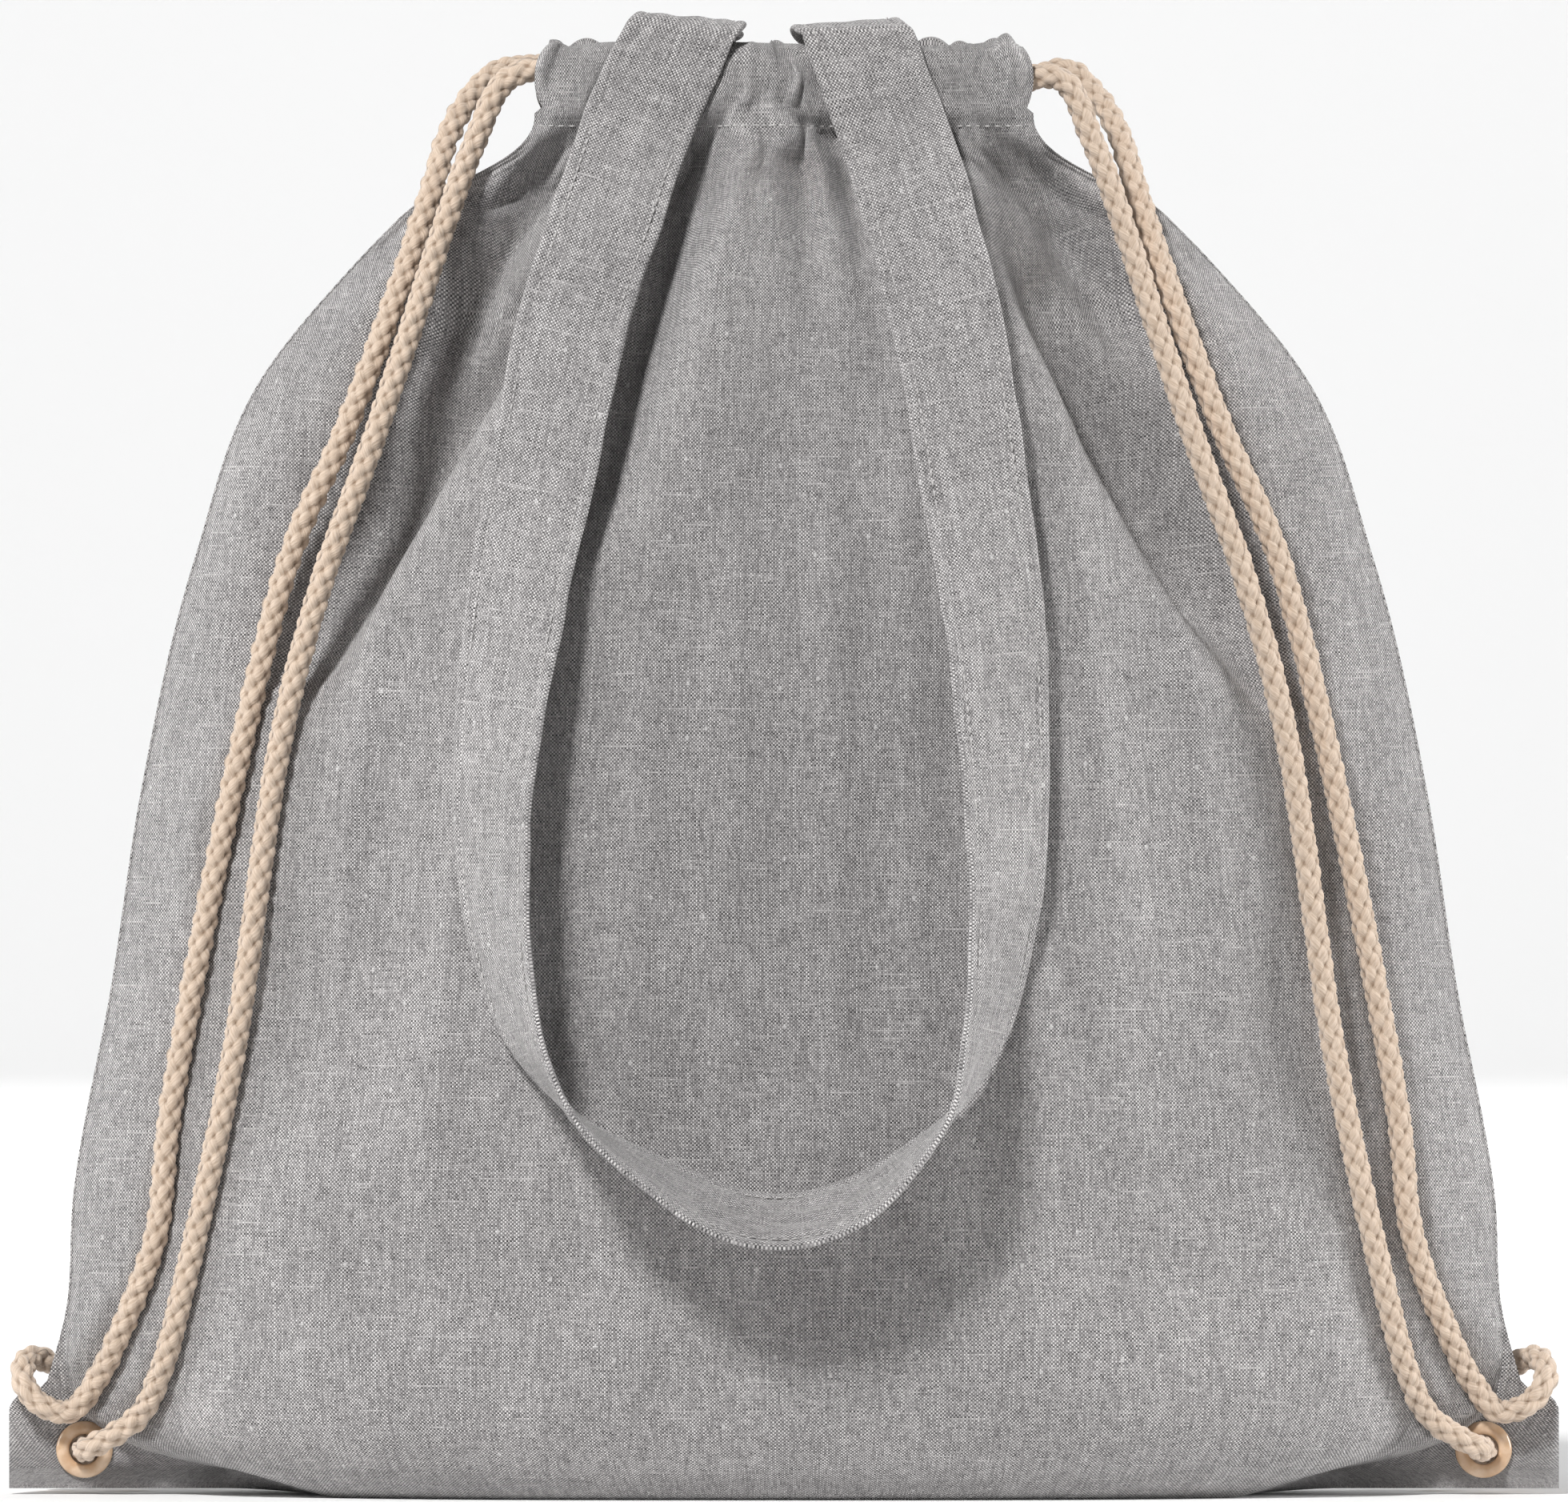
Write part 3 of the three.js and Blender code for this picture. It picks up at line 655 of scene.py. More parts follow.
def melange(name, painted_light_scale):
    """Plain weave of light warp and dark weft threads, uneven in tone, with thick pale slubs, and
    painted shade that darkens the colour towards each thread's edges.
    """
    sheen = {"Sheen_Weight": 0.25, "Sheen_Roughness": 0.6}
    material, shader, start = new_material(name, Roughness=0.92, Specular_IOR_Level=0.25, **sheen)
    place = start.node("UVMap", 0, {"uv_map": "cloth"})

    # the threads, which wander a little: counted, rounded, and which one is on top at a crossing
    u = place.part(0) * (1 / THREAD_PITCH)
    v = place.part(1) * (1 / THREAD_PITCH)
    u = u + THREAD_WANDER * place.noise(u * 0.21, v * 0.013)
    v = v + THREAD_WANDER * place.noise(v * 0.21, u * 0.017)
    warp = u.math("FLOOR")
    weft = v.math("FLOOR")
    over = ((warp + weft) * 0.5).math("FRACT").math("GREATER_THAN", 0.25)
    warp_round = (u.math("FRACT") * math.pi).math("SINE")
    weft_round = (v.math("FRACT") * math.pi).math("SINE")
    round_top = weft_round + over * (warp_round - weft_round)

    # each thread's tone lasts for a run of crossings, and differs a little from one to the next
    warp_run = (v * TONE_RUN + warp * 0.37).math("FLOOR")
    weft_run = (u * TONE_RUN + weft * 0.43).math("FLOOR")
    warp_tone = RUN_SHARE * place.chance(warp, warp_run) + (1 - RUN_SHARE) * place.chance(warp, weft)
    weft_tone = RUN_SHARE * place.chance(weft + 0.5, weft_run)
    weft_tone = weft_tone + (1 - RUN_SHARE) * place.chance(weft, warp + 0.5)

    # slubs along the threads, and small knots in the yarn
    slub = place.noise(warp * 13.7, v * 0.016, 1.0).between(*SLUB_STARTS)
    cross_slub = place.noise(weft * 11.3, u * 0.025, 1.0).between(*CROSS_SLUB_STARTS)
    spot = place.node("CombineXYZ", 0, (), {0: u * 0.022, 1: v * 0.016})
    spots = place.node("TexVoronoi", 0, {"voronoi_dimensions": "2D"}, {"Vector": spot, "Scale": 1.0})
    knot = 1 - spots.between(*YARN_KNOT_SIZE)

    warp_colour = (0.6 * slub).blend(warp_tone.blend(WARP_DARK, WARP_LIGHT), SLUB_LIGHT)
    weft_colour = (0.35 * cross_slub).blend(weft_tone.blend(WEFT_DARK, WEFT_LIGHT), WARP_LIGHT)
    colour = (0.6 * knot).blend(over.blend(weft_colour, warp_colour), SLUB_LIGHT)
    patches = place.noise(u * 0.012, v * 0.009, 2.0)
    # Painted shade: the colour darkens towards each thread's edges, in the hollows between threads.
    painted_thread_shade = SHADE_BETWEEN_THREADS + (1 - SHADE_BETWEEN_THREADS) * round_top
    # The last factor scales the whole colour; above 1 it makes a lighter copy of the cloth, as painted
    # light.
    shade = painted_thread_shade * (0.88 + 0.24 * patches) * painted_light_scale
    height = round_top * 0.8 + slub * 0.5 + knot
    colour_and_bump(shader, shade.darken(colour), height, WEAVE_RELIEF)
    return material


bag_cloth = melange("grey_melange_cotton", 1.0)
for cloth, half in ((front_cloth, "front"), (back_cloth, "back")):
    cloth.data.materials.append(bag_cloth)
    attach(cloth, "root")
    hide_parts(f"{half}_panel", f"{half}_casing")

# ---- Handles ----
#
# Each is a long strip of the same cloth, folded in and topstitched close to both edges. Its ends are
# sewn inside the hem, and it comes over the rim and hangs in a loop, which turns over at the bottom.

HANDLE_WIDTH = 0.027
HANDLE_HALF_THICKNESS = 0.0009
HANDLE_EDGE_ROUND = 0.0011
STITCH_INSET = 0.0031
STITCH_SINK = 0.00045
STRAP_CLEAR = 0.0014
FOLD_Z = 0.358
FOLD_RADIUS = 0.0062
# At each fold over the rim: how high it stands for its radius, and how far its line is tilted.
LEFT_FOLD = (0.46, 0.17)
RIGHT_FOLD = (0.15, 0.04)
HIDDEN_LEAN = 0.06
# In millimetres: how far down the fold still turns the leg, how far the back handle's top lies to the
# side, and how far down it does.
FOLD_REACH = 32
BACK_SHIFT = 7.5
SHIFT_REACH = 90
HANDLE_STEPS = 60
HANDLE_FINE = 6
RISE_STEPS = 11
FOLD_STEPS = 16
EDGE_POINTS = 29
HALF_TURN = (-1, -1, 1)
PILLOW_HEIGHT = 0.0002
FLUTTER = 0.00035
EDGE_FLUTTER = 0.012
# The hanging loop: the place across and the depth below the fold in millimetres, and the twist.
HANDLE_ROUTE = [
    (-25.5, 0.3, 0),
    (-34.5, 20, 0),
    (-43, 45, 3),
    (-51, 70, 6),
    (-58, 104, 12),
    (-65, 140, 25),
    (-70, 180, 42),
    (-70, 213, 53),
    (-64.5, 241, 68),
    (-51.3, 263.4, 90),
    (-33, 277.5, 106),
    (-12, 288, 116),
    (5, 289, 117),
    (22, 282, 110),
    (39.9, 264.2, 90),
    (47.5, 247, 70),
    (52.6, 224, 56),
    (54, 193, 42),
    (52.2, 155, 28),
    (47, 116, 14),
    (40, 73, 5),
    (30.5, 36, 0),
    (18, 0.3, 0),
]


def smooth_route(points, at):
    """Points on a smooth line through points, where at counts from the first as 0."""
    points = np.array(points, float)
    padded = np.concatenate([[2 * points[0] - points[1]], points, [2 * points[-1] - points[-2]]])
    i = np.clip(np.floor(at).astype(int), 0, len(points) - 2)
    t = (at - i)[:, None]
    p0, p1, p2, p3 = (padded[i + k] for k in range(4))
    gap_before, gap, gap_after = (
        np.sqrt(np.linalg.norm(b - a, axis=1, keepdims=True)) for a, b in ((p0, p1), (p1, p2), (p2, p3))
    )
    leaving = (p1 - p0) / gap_before - (p2 - p0) / (gap_before + gap) + (p2 - p1) / gap
    arriving = (p2 - p1) / gap - (p3 - p1) / (gap + gap_after) + (p3 - p2) / gap_after
    leaving *= gap
    arriving *= gap
    square = 3 * (p2 - p1) - 2 * leaving - arriving
    cube = 2 * (p1 - p2) + leaving + arriving
    return p1 + leaving * t + square * t**2 + cube * t**3


def unit(vectors):
    return vectors / np.linalg.norm(vectors, axis=-1, keepdims=True)


def hanging_stations(shift):
    """The middles and the width directions of the loop that hangs on the belly."""
    at = np.linspace(0, len(HANDLE_ROUTE) - 1, HANDLE_STEPS + 1)
    places = smooth_route(HANDLE_ROUTE, at)
    places[:, 0] += shift * (1 - smoothstep(places[:, 1], 0, SHIFT_REACH))
    run = np.zeros((len(at), 3))
    run[1:-1, 0] = places[2:, 0] - places[:-2, 0]
    run[1:-1, 2] = places[:-2, 1] - places[2:, 1]
    run[0] = run[1]
    run[-1] = run[-2]
    run = unit(run)
    twist = np.radians(places[:, 2])[:, None]
    in_plane = np.stack([-run[:, 2], np.zeros(len(at)), run[:, 0]], 1)
    on_left = at < len(HANDLE_ROUTE) / 2
    tilt = np.where(on_left, LEFT_FOLD[1], RIGHT_FOLD[1])
    folded = unit(np.stack([np.where(on_left, 1, -1), 0 * at, -tilt], 1))
    in_plane = unit(mix(folded, in_plane, smoothstep(places[:, 1], 0, FOLD_REACH)[:, None]))
    wide = in_plane * np.cos(twist) + np.array([0, -1, 0]) * np.sin(twist)
    x = places[:, 0] * MM
    z = FOLD_Z - places[:, 1] * MM
    fronts = [
        belly_front(x + share * HANDLE_WIDTH * wide[:, 0], z + share * HANDLE_WIDTH * wide[:, 2])
        for share in (-0.5, 0, 0.5)
    ]
    resting = np.min(fronts, axis=0) - STRAP_CLEAR - HANDLE_WIDTH / 2 * np.sin(twist[:, 0])
    y = np.minimum(resting, -(CASING_Y + FOLD_RADIUS))
    middle = np.stack([x, y, z], 1)
    fine = np.linspace(0, HANDLE_STEPS, HANDLE_STEPS * HANDLE_FINE + 1)
    return smooth_route(middle, fine), unit(smooth_route(wide, fine))


def end_stations(x, slope, flatness, fold_tilt):
    """Up the inside of the casing and over the rim, where the strap turns into its slanting leg.
    Gives the middles and the width directions."""
    rise = np.linspace(HEM_Z, FOLD_Z, RISE_STEPS + 1)[:-1]
    angle = np.linspace(0, math.pi, FOLD_STEPS + 1)[:-1]
    height = FOLD_RADIUS * np.sin(angle)
    inside_y = np.full(len(rise), -(CASING_Y - FOLD_RADIUS))
    y = np.concatenate([inside_y, -CASING_Y + FOLD_RADIUS * np.cos(angle)])
    z = np.concatenate([rise, FOLD_Z + height * flatness])
    turned = np.concatenate([np.zeros(len(rise)), 0.5 - 0.5 * np.cos(angle)])
    shift = np.concatenate([-(FOLD_Z - rise) * HIDDEN_LEAN * np.sign(slope), height * slope])
    tilt = fold_tilt * turned * np.sign(slope)
    middles = np.stack([x + shift, y, z], 1)
    return middles, unit(np.stack([np.ones(len(y)), np.zeros(len(y)), -tilt], 1))


def whole_handle(shift):
    """The strap's middles, width directions and outward directions from one sewn end to the other."""
    middle, wide = hanging_stations(shift)
    left_leg = middle[0] - middle[HANDLE_FINE]
    right_leg = middle[-1] - middle[-1 - HANDLE_FINE]
    left, left_wide = end_stations(middle[0, 0], left_leg[0] / left_leg[2], *LEFT_FOLD)
    right, right_wide = end_stations(middle[-1, 0], right_leg[0] / right_leg[2], *RIGHT_FOLD)
    middles = np.concatenate([left, middle, right[::-1]])
    wides = np.concatenate([left_wide, wide, -right_wide[::-1]])
    return middles, wides, unit(np.cross(unit(np.gradient(middles, axis=0)), wides))


def travelled(line):
    """The distance along a line of points, at each of them."""
    return np.concatenate([[0], np.cumsum(np.linalg.norm(np.diff(line, axis=0), axis=1))])


def handle_section():
    """Around the strap, as (across, out) pairs in shares of half its width and thickness."""
    across = np.sin(np.linspace(-math.pi / 2, math.pi / 2, EDGE_POINTS))
    out = np.concatenate([np.ones(EDGE_POINTS), -np.ones(EDGE_POINTS - 2)])
    return np.concatenate([across, across[-2:0:-1]]), out


def handle_face(across, length, side, seed):
    """How far the face stands off the strap's middle plane."""
    from_edge = (1 - np.abs(across)) * HANDLE_WIDTH / 2
    edge_share = np.clip(from_edge / HANDLE_EDGE_ROUND, 0, 1)
    round_edge = np.sqrt(np.clip(1 - (1 - edge_share) ** 2, 0, 1))
    drawn = 0.75 + 0.25 * ripple(length, 40 * across, 0.008, seed)
    sunk = STITCH_SINK * bell(from_edge - STITCH_INSET, 0.0007) * drawn
    pillow = PILLOW_HEIGHT * ripple(across * 0.02, length, 0.014, seed + 1)
    inner = smoothstep(from_edge, STITCH_INSET, 0.006)
    return side * round_edge * (HANDLE_HALF_THICKNESS - sunk) + pillow * inner


def handle_piece(name, turned, seed):
    middles, wides, faces_out = whole_handle(BACK_SHIFT if turned else 0)
    length = travelled(middles)
    across, side = handle_section()
    wave = FLUTTER * ripple(length, 0 * length, 0.035, seed + 2)
    out = handle_face(across[None, :], length[:, None], side[None, :], seed) + wave[:, None]
    edge_wave = 1 + EDGE_FLUTTER * ripple(length, 0 * length, 0.02, seed + 3)[:, None]
    points = (
        middles[:, None, :]
        + wides[:, None, :] * (across * HANDLE_WIDTH / 2)[None, :, None] * edge_wave[..., None]
        + faces_out[:, None, :] * out[..., None]
    )
    if turned:
        points = points * np.array(HALF_TURN)
    rows, columns = points.shape[:2]
    u = np.broadcast_to(across * HANDLE_WIDTH / 2, (rows, columns))
    v = np.broadcast_to(length[:, None], (rows, columns))
    uv = np.stack([u, v], -1).reshape(-1, 2) / MM + np.array([seed * 17.0, seed * 31.0])
    piece = mesh_piece(name, points.reshape(-1, 3), tube_quads(rows, columns), uv)
    close_ends(piece)
    return piece


def tube_quads(rows, columns):
    """Squares between rows of points that each close into a ring."""
    index = np.arange(rows * columns).reshape(rows, columns)
    corners = np.stack([index[:-1, -1], index[:-1, 0], index[1:, 0], index[1:, -1]], 1)
    return np.concatenate([grid_quads(rows, columns), corners])


def close_ends(piece):
    shape = bmesh.new()
    shape.from_mesh(piece.data)
    bmesh.ops.holes_fill(shape, edges=[edge for edge in shape.edges if edge.is_boundary], sides=0)
    bmesh.ops.recalc_face_normals(shape, faces=shape.faces)
    shape.to_mesh(piece.data)
    shape.free()
    piece.data.shade_smooth()


def bend_over_rim(piece, half):
    """Bakes a piece of a handle's placement into its mesh. The fold points over the rim are worked out
    but not used.
    """
    facing = -1 if half == "back" else 1
    fold_inside = (0, -(CASING_Y - FOLD_RADIUS) * facing, FOLD_Z)
    fold_outside = (0, -(CASING_Y + FOLD_RADIUS) * facing, FOLD_Z)
    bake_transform(piece)


# The handles get a copy of the same cloth made 6% lighter, as painted light on the straps.
handle_cloth_painted_lighter = melange("grey_melange_strap_painted_lighter", 1.06)
handles = {}
for half, seed in (("front", 3), ("back", 8)):
    name = half + "_handle"
    handle = handle_piece(name + "_strap", half == "back", seed)
    handle.data.materials.append(handle_cloth_painted_lighter)
    bend_over_rim(handle, half)
    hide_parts(name, name + "_left_end", name + "_right_end")
    handles[half] = handle

# ---- Eyelets ----
#
# Each corner tab has a moulded plastic eyelet: a polished ring with a barrel goes in from the front,
# and a washer clamps it from behind.

# Half of each ring's section in millimetres: the distance from its middle line, and from front to back.
RING_OUTLINE = [
    (3.7, -1.9),
    (3.75, -2.8),
    (4.2, -3.3),
    (5.0, -3.5),
    (5.9, -3.35),
    (6.6, -2.95),
    (6.95, -2.45),
    (6.9, -2.0),
    (6.4, -1.95),
    (5.2, -1.95),
    (4.65, -1.9),
    (4.6, 0),
    (4.6, 3.0),
    (4.4, 3.4),
    (4.0, 3.45),
    (3.72, 3.2),
    (3.7, 2),
]
WASHER_OUTLINE = [
    (4.9, 2.0),
    (5.6, 1.95),
    (6.6, 1.96),
    (6.95, 2.2),
    (6.9, 2.6),
    (6.4, 2.9),
    (5.6, 2.95),
    (4.95, 2.8),
]
EYELET_SIDES = 72


def turned_piece(name, outline, x, z):
    """A ring of revolution about the line through x and z that runs from front to back."""
    closed = outline + outline[:2]
    fine = smooth_route(closed, np.linspace(0, len(outline), 5 * len(outline) + 1)[:-1]) * MM
    angle = np.linspace(0, 2 * math.pi, EYELET_SIDES + 1)[:-1, None]
    radius = fine[None, :, 0]
    depth = fine[None, :, 1] + 0 * angle
    points = np.stack([x + radius * np.cos(angle), depth, z + radius * np.sin(angle)], -1)
    rows, columns = points.shape[:2]
    index = np.arange(rows * columns).reshape(rows, columns)
    after = np.roll(index, -1, 0)
    corners = [index, after, np.roll(after, -1, 1), np.roll(index, -1, 1)]
    quads = np.stack([corner.ravel() for corner in corners], 1)
    piece = mesh_piece(name, points.reshape(-1, 3), quads)
    close_ends(piece)
    return piece


EYELET_TAN = (0.55, 0.36, 0.22)
EYELET_PALE = (0.68, 0.5, 0.35)
SCUFF_DEPTH = 0.00002
coat = {"Coat_Roughness": 0.08, "Coat_Weight": 0.4}
eyelet_plastic, shader, start = new_material("polished_tan_plastic", Roughness=0.22, **coat)
where = start.node("TexCoord", "Object")
cloud = where.node("TexNoise", 0, (), {"Vector": where, "Scale": 260.0, "Detail": 3.0})
scuffs = where.node("TexNoise", 0, (), {"Vector": where, "Scale": 1900.0, "Detail": 2.0})
tan = cloud.between(0.35, 0.7).blend(EYELET_TAN, EYELET_PALE)
colour_and_bump(shader, tan, scuffs, SCUFF_DEPTH)
for name, side in (("left", -1), ("right", 1)):
    for part, outline in (("eyelet", RING_OUTLINE), ("washer", WASHER_OUTLINE)):
        ring = turned_piece(f"{name}_{part}_ring", outline, side * EYELET_X, EYELET_Z)
        ring.data.materials.append(eyelet_plastic)
        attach(ring, "root")
        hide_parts(f"{name}_{part}")

# ---- Cords ----
#
# Two braided cotton cords close the mouth and are the shoulder straps. Each starts at its own corner,
# goes up the front, through the front casing, round the far end and back through the back casing, and
# comes down again round the side edge to the knot that ties its two ends together behind the eyelet.

CORD_DIAMETER = 0.0064
UPPER_CORD_Z = 350.5
LOWER_CORD_Z = 343.4
TURN_X = 42
CASING_END_X = 61
SETTLED = 13
STRAIGHT = 12
BEFORE_TURN = 8
# The left cord's points in millimetres: from the eyelet up into the front casing, and from the back
# casing down again and round the side edge to the knot. The right cord is its mirror image.
INNER_STRAND = [
    (-171.5, 5.2, 11),
    (-171.5, -4.2, 11),
    (-169.6, -9, 12),
    (-164.5, -11.6, 14.6),
    (-157.5, -14, 20),
    (-152.5, -19.8, 30),
    (-147.5, -25.2, 47.5),
    (-134.5, -29.6, 107),
    (-122.5, -29, 186),
    (-112.5, -29, 224),
    (-101.4, -28.7, 254.5),
    (-91.5, -24.7, 284),
    (-82.5, -19.5, 312),
    (-75.2, -16.4, 332),
    (-67.5, -15.2, 346.5),
]
OUTER_STRAND = [
    (-69.5, 14, 349.5),
    (-76.5, 9, 343.5),
    (-82.2, 0.5, 333.5),
    (-86.2, -8, 320),
    (-94.6, -18, 294.3),
    (-107, -23.2, 261),
    (-121.5, -22.8, 227),
    (-149.5, -21, 97),
    (-153.5, -20.4, 64),
    (-162, -14.6, 41),
    (-168.5, -8.2, 28),
    (-175, -7, 20.5),
    (-182.4, -6.8, 22.4),
    (-186.3, -5, 27.4),
    (-186.4, 0, 31.8),
    (-183.4, 6.4, 33.4),
    (-174, 13.5, 26.5),
    (-172, 13.5, 20.4),
]
CARRIERS = 4
BRAID_PITCH = 0.0225
BRAID_SIDES = 40
BRAID_STEP = 0.00062
BRAID_RELIEF = 0.0012
STRAND_ROUNDNESS = 0.55
FIRST_SIDE = (0.3, 0.2, 0.9)
YARN_UNEVENNESS = 0.0001
BRAID_SEED = 77


def casing_run(height):
    """Through the front casing, round the far end and back through the back casing."""
    side = CASING_Y / MM
    turn = [
        (TURN_X + side * math.cos(angle), side * math.sin(angle), height)
        for angle in np.linspace(-math.pi / 2, math.pi / 2, 5)
    ]
    start = SETTLED - CASING_END_X
    straight = [start, start + STRAIGHT, TURN_X - BEFORE_TURN]
    front = [(x, -side, height) for x in straight]
    back = [(x, side, height) for x in reversed(straight)]
    return front + turn + back


def even_line(points, step):
    """The smooth route through points, cut into equal steps."""
    rough = smooth_route(points, np.linspace(0, len(points) - 1, 60 * len(points)))
    length = travelled(rough)
    places = np.linspace(0, length[-1], int(round(length[-1] / step)) + 1)
    return np.stack([np.interp(places, length, rough[:, k]) for k in range(3)], 1), places


def carried_frames(line):
    """Two directions square to the line at each point, carried along without twist."""
    run = unit(np.gradient(line, axis=0))
    sides = [unit(np.cross(run[0], FIRST_SIDE))]
    for direction in run[1:]:
        sides.append(unit(sides[-1] - direction * (sides[-1] @ direction)))
    sides = np.array(sides)
    return sides, np.cross(run, sides)


def braid(around, along):
    """The relief of a round braid, from 0 to 1, which strand is on top, and the two strands' own
    coordinates. Strands run both ways round and pass over and under each other in turn."""
    p = CARRIERS * (around / (2 * math.pi) + along / BRAID_PITCH)
    q = CARRIERS * (around / (2 * math.pi) - along / BRAID_PITCH)
    p_over = np.where(np.floor(p) % 2 == 0, 1, -1) * np.sin(math.pi * q)
    q_over = -np.where(np.floor(q) % 2 == 0, 1, -1) * np.sin(math.pi * p)
    p_round, q_round = (np.sqrt(np.clip(1 - (2 * (turn % 1) - 1) ** 2, 0, 1)) for turn in (p, q))
    right = mix(p_over, p_round, STRAND_ROUNDNESS)
    left = mix(q_over, q_round, STRAND_ROUNDNESS)
    return np.clip(np.maximum(right, left), 0, 1) ** 1.5, right > left, p, q


def braided_tube(name, line, places, radius, fray=None):
    """A closed tube along a line, with the braid's relief in its mesh. fray is how much wider it is
    for a share of its length."""
    sides, ups = carried_frames(line)
    around = np.linspace(0, 2 * math.pi, BRAID_SIDES + 1)[:-1]
    relief, right_over, p, q = braid(around[None, :], places[:, None])
    uneven = YARN_UNEVENNESS * ripple(places[:, None], 0.004 * around[None, :], 0.006, BRAID_SEED)
    reach = radius - BRAID_RELIEF * (1 - relief) + uneven
    if fray is not None:
        reach = reach * fray(places / places[-1])[:, None]
    points = (
        line[:, None, :]
        + sides[:, None, :] * (reach * np.cos(around))[..., None]
        + ups[:, None, :] * (reach * np.sin(around))[..., None]
    )
    piece = mesh_piece(name, points.reshape(-1, 3), tube_quads(*reach.shape))
    stored = {"relief": relief, "right_over": right_over, "strand_p": p, "strand_q": q}
    for label, values in stored.items():
        layer = piece.data.attributes.new(label, "FLOAT", "POINT")
        layer.data.foreach_set("value", np.broadcast_to(values, reach.shape).ravel().astype(np.float32))
    close_ends(piece)
    return piece


COTTON_PALE = (0.70, 0.57, 0.46)
COTTON_WARM = (0.56, 0.43, 0.325)
# The dark brown of the painted shade in the grooves between strands.
COTTON_GROOVE_SHADE = (0.25, 0.165, 0.105)
YARN_RELIEF = 0.0003


def braided_cotton():
    """Soft unbleached yarns. Fine fibres run along each strand, and the gaps between strands are
    darkened to brown with painted shade.
    """
    sheen = {"Sheen_Weight": 0.35, "Sheen_Roughness": 0.5}
    name = "natural_braided_cotton"
    material, shader, start = new_material(name, Roughness=0.9, Specular_IOR_Level=0.2, **sheen)
    labels = ("relief", "right_over", "strand_p", "strand_q")
    relief, right_over, p, q = (
        start.node("Attribute", "Fac", {"attribute_name": label}) for label in labels
    )
    over = right_over.between(0.3, 0.7)
    right_yarns = relief.noise(p * 9.0, q * 0.8, 2.0)
    left_yarns = relief.noise(q * 9.0 + 40, p * 0.8, 2.0)
    yarns = left_yarns + over * (right_yarns - left_yarns)
    fibres = relief.noise(p * 31.0, q * 29.0, 2.0)
    tone = (yarns * 0.7 + fibres * 0.3).between(0.32, 0.66)
    # Painted shade: the colour darkens to dark brown where the braid's relief is low, in the grooves
    # between strands.
    colour = relief.between(0.02, 0.62).blend(COTTON_GROOVE_SHADE, tone.blend(COTTON_WARM, COTTON_PALE))
    colour_and_bump(shader, colour, yarns * 0.75 + fibres * 0.25, YARN_RELIEF)
    return material


cord_cotton = braided_cotton()
mirror = {"left": 1, "right": -1}
cords = {}
for name, height in (("left", UPPER_CORD_Z), ("right", LOWER_CORD_Z)):
    route = np.array(INNER_STRAND + casing_run(height) + OUTER_STRAND) * MM * (mirror[name], 1, 1)
    line, places = even_line(route, BRAID_STEP)
    cord = braided_tube(f"{name}_braided_cord", line, places, CORD_DIAMETER / 2)
    cord.data.materials.append(cord_cotton)
    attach(cord, "root")
    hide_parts(f"{name}_cord")
    cords[name] = (cord, line, places[-1])

# ---- Knots ----
#
# Behind each corner the two ends of a cord are laid together and tied in one overhand knot, too big
# to slip back through the eyelet. The short ends are left to fray.

KNOT_CENTRE = (-EYELET_X, 0.0135, 0.012)
KNOT_LOOP = 0.0042
KNOT_SWING = 0.0021
KNOT_DEPTH = 1.25 * KNOT_SWING
KNOT_CORD_RADIUS = 0.0028
# The left cord's two short ends, in millimetres.
TAILS = [
    [(-171, 17, 8), (-168.5, 20.5, 6), (-163.5, 22.5, 4.8), (-157, 23.5, 4.6)],
    [(-173, 18.5, 12), (-175.5, 22, 9.5), (-179, 24.5, 6.5), (-182, 26.5, 5)],
]


def knot_line():
    """One turn of an overhand knot that closes on itself, drawn tight into a ball."""
    turn = np.linspace(0, 2 * math.pi, 260)
    out = KNOT_LOOP + KNOT_SWING * np.cos(3 * turn)
    x = out * np.cos(2 * turn)
    z = out * np.sin(2 * turn)
    y = KNOT_DEPTH * np.sin(3 * turn)
    return np.stack([x, y, z], 1) + np.array(KNOT_CENTRE)


def frayed(share):
    """A loose end opens out near its tip, and closes at it."""
    return 1 + 0.45 * smoothstep(share, 0.72, 0.97) - 0.55 * smoothstep(share, 0.97, 1)


for name in ("left", "right"):
    flip = np.array([mirror[name], 1, 1])
    turns = knot_line() * flip
    knot = braided_tube(f"{name}_overhand_knot", turns, travelled(turns), KNOT_CORD_RADIUS)
    knot.data.materials.append(cord_cotton)
    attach(knot, "root")
    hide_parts(f"{name}_knot")
    for number, tail in enumerate(TAILS):
        line, places = even_line(np.array(tail) * MM * flip, BRAID_STEP)
        end = braided_tube(f"{name}_cord_end_{number + 1}", line, places, KNOT_CORD_RADIUS, frayed)
        end.data.materials.append(cord_cotton)
        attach(end, "root")
    cord, line, length = cords[name]

# ---- The cloth under the handles and the cords ----
#
# The handles and the cords lie on the bag's cotton. It is thin and soft, so it gives way under them
# and eases out of the dent on all sides.

PRESS_CLEAR = 0.0007
PRESS_SLOPE = 0.55
PRESS_SPREADS = 6
PRESS_SMOOTHINGS = 2
DEEPEST_PRESS = 0.02
LOWEST_PRESS = 0.004
NEAR_EYELET = 0.0085
INSIDE_CASING_Y = 0.0115
INSIDE_BAG_Y = -0.004
CORD_FRONT_Y = 0.0191
CASING_FROM_Z = HEM_Z - 0.004
FARTHEST_PRESS = 0.1
HEM_ROW = BASE_ROWS + WALL_ROWS - 2


def all_points(cloth):
    points = np.empty(len(cloth.data.vertices) * 3)
    cloth.data.vertices.foreach_get("co", points)
    return points.reshape(-1, 3)


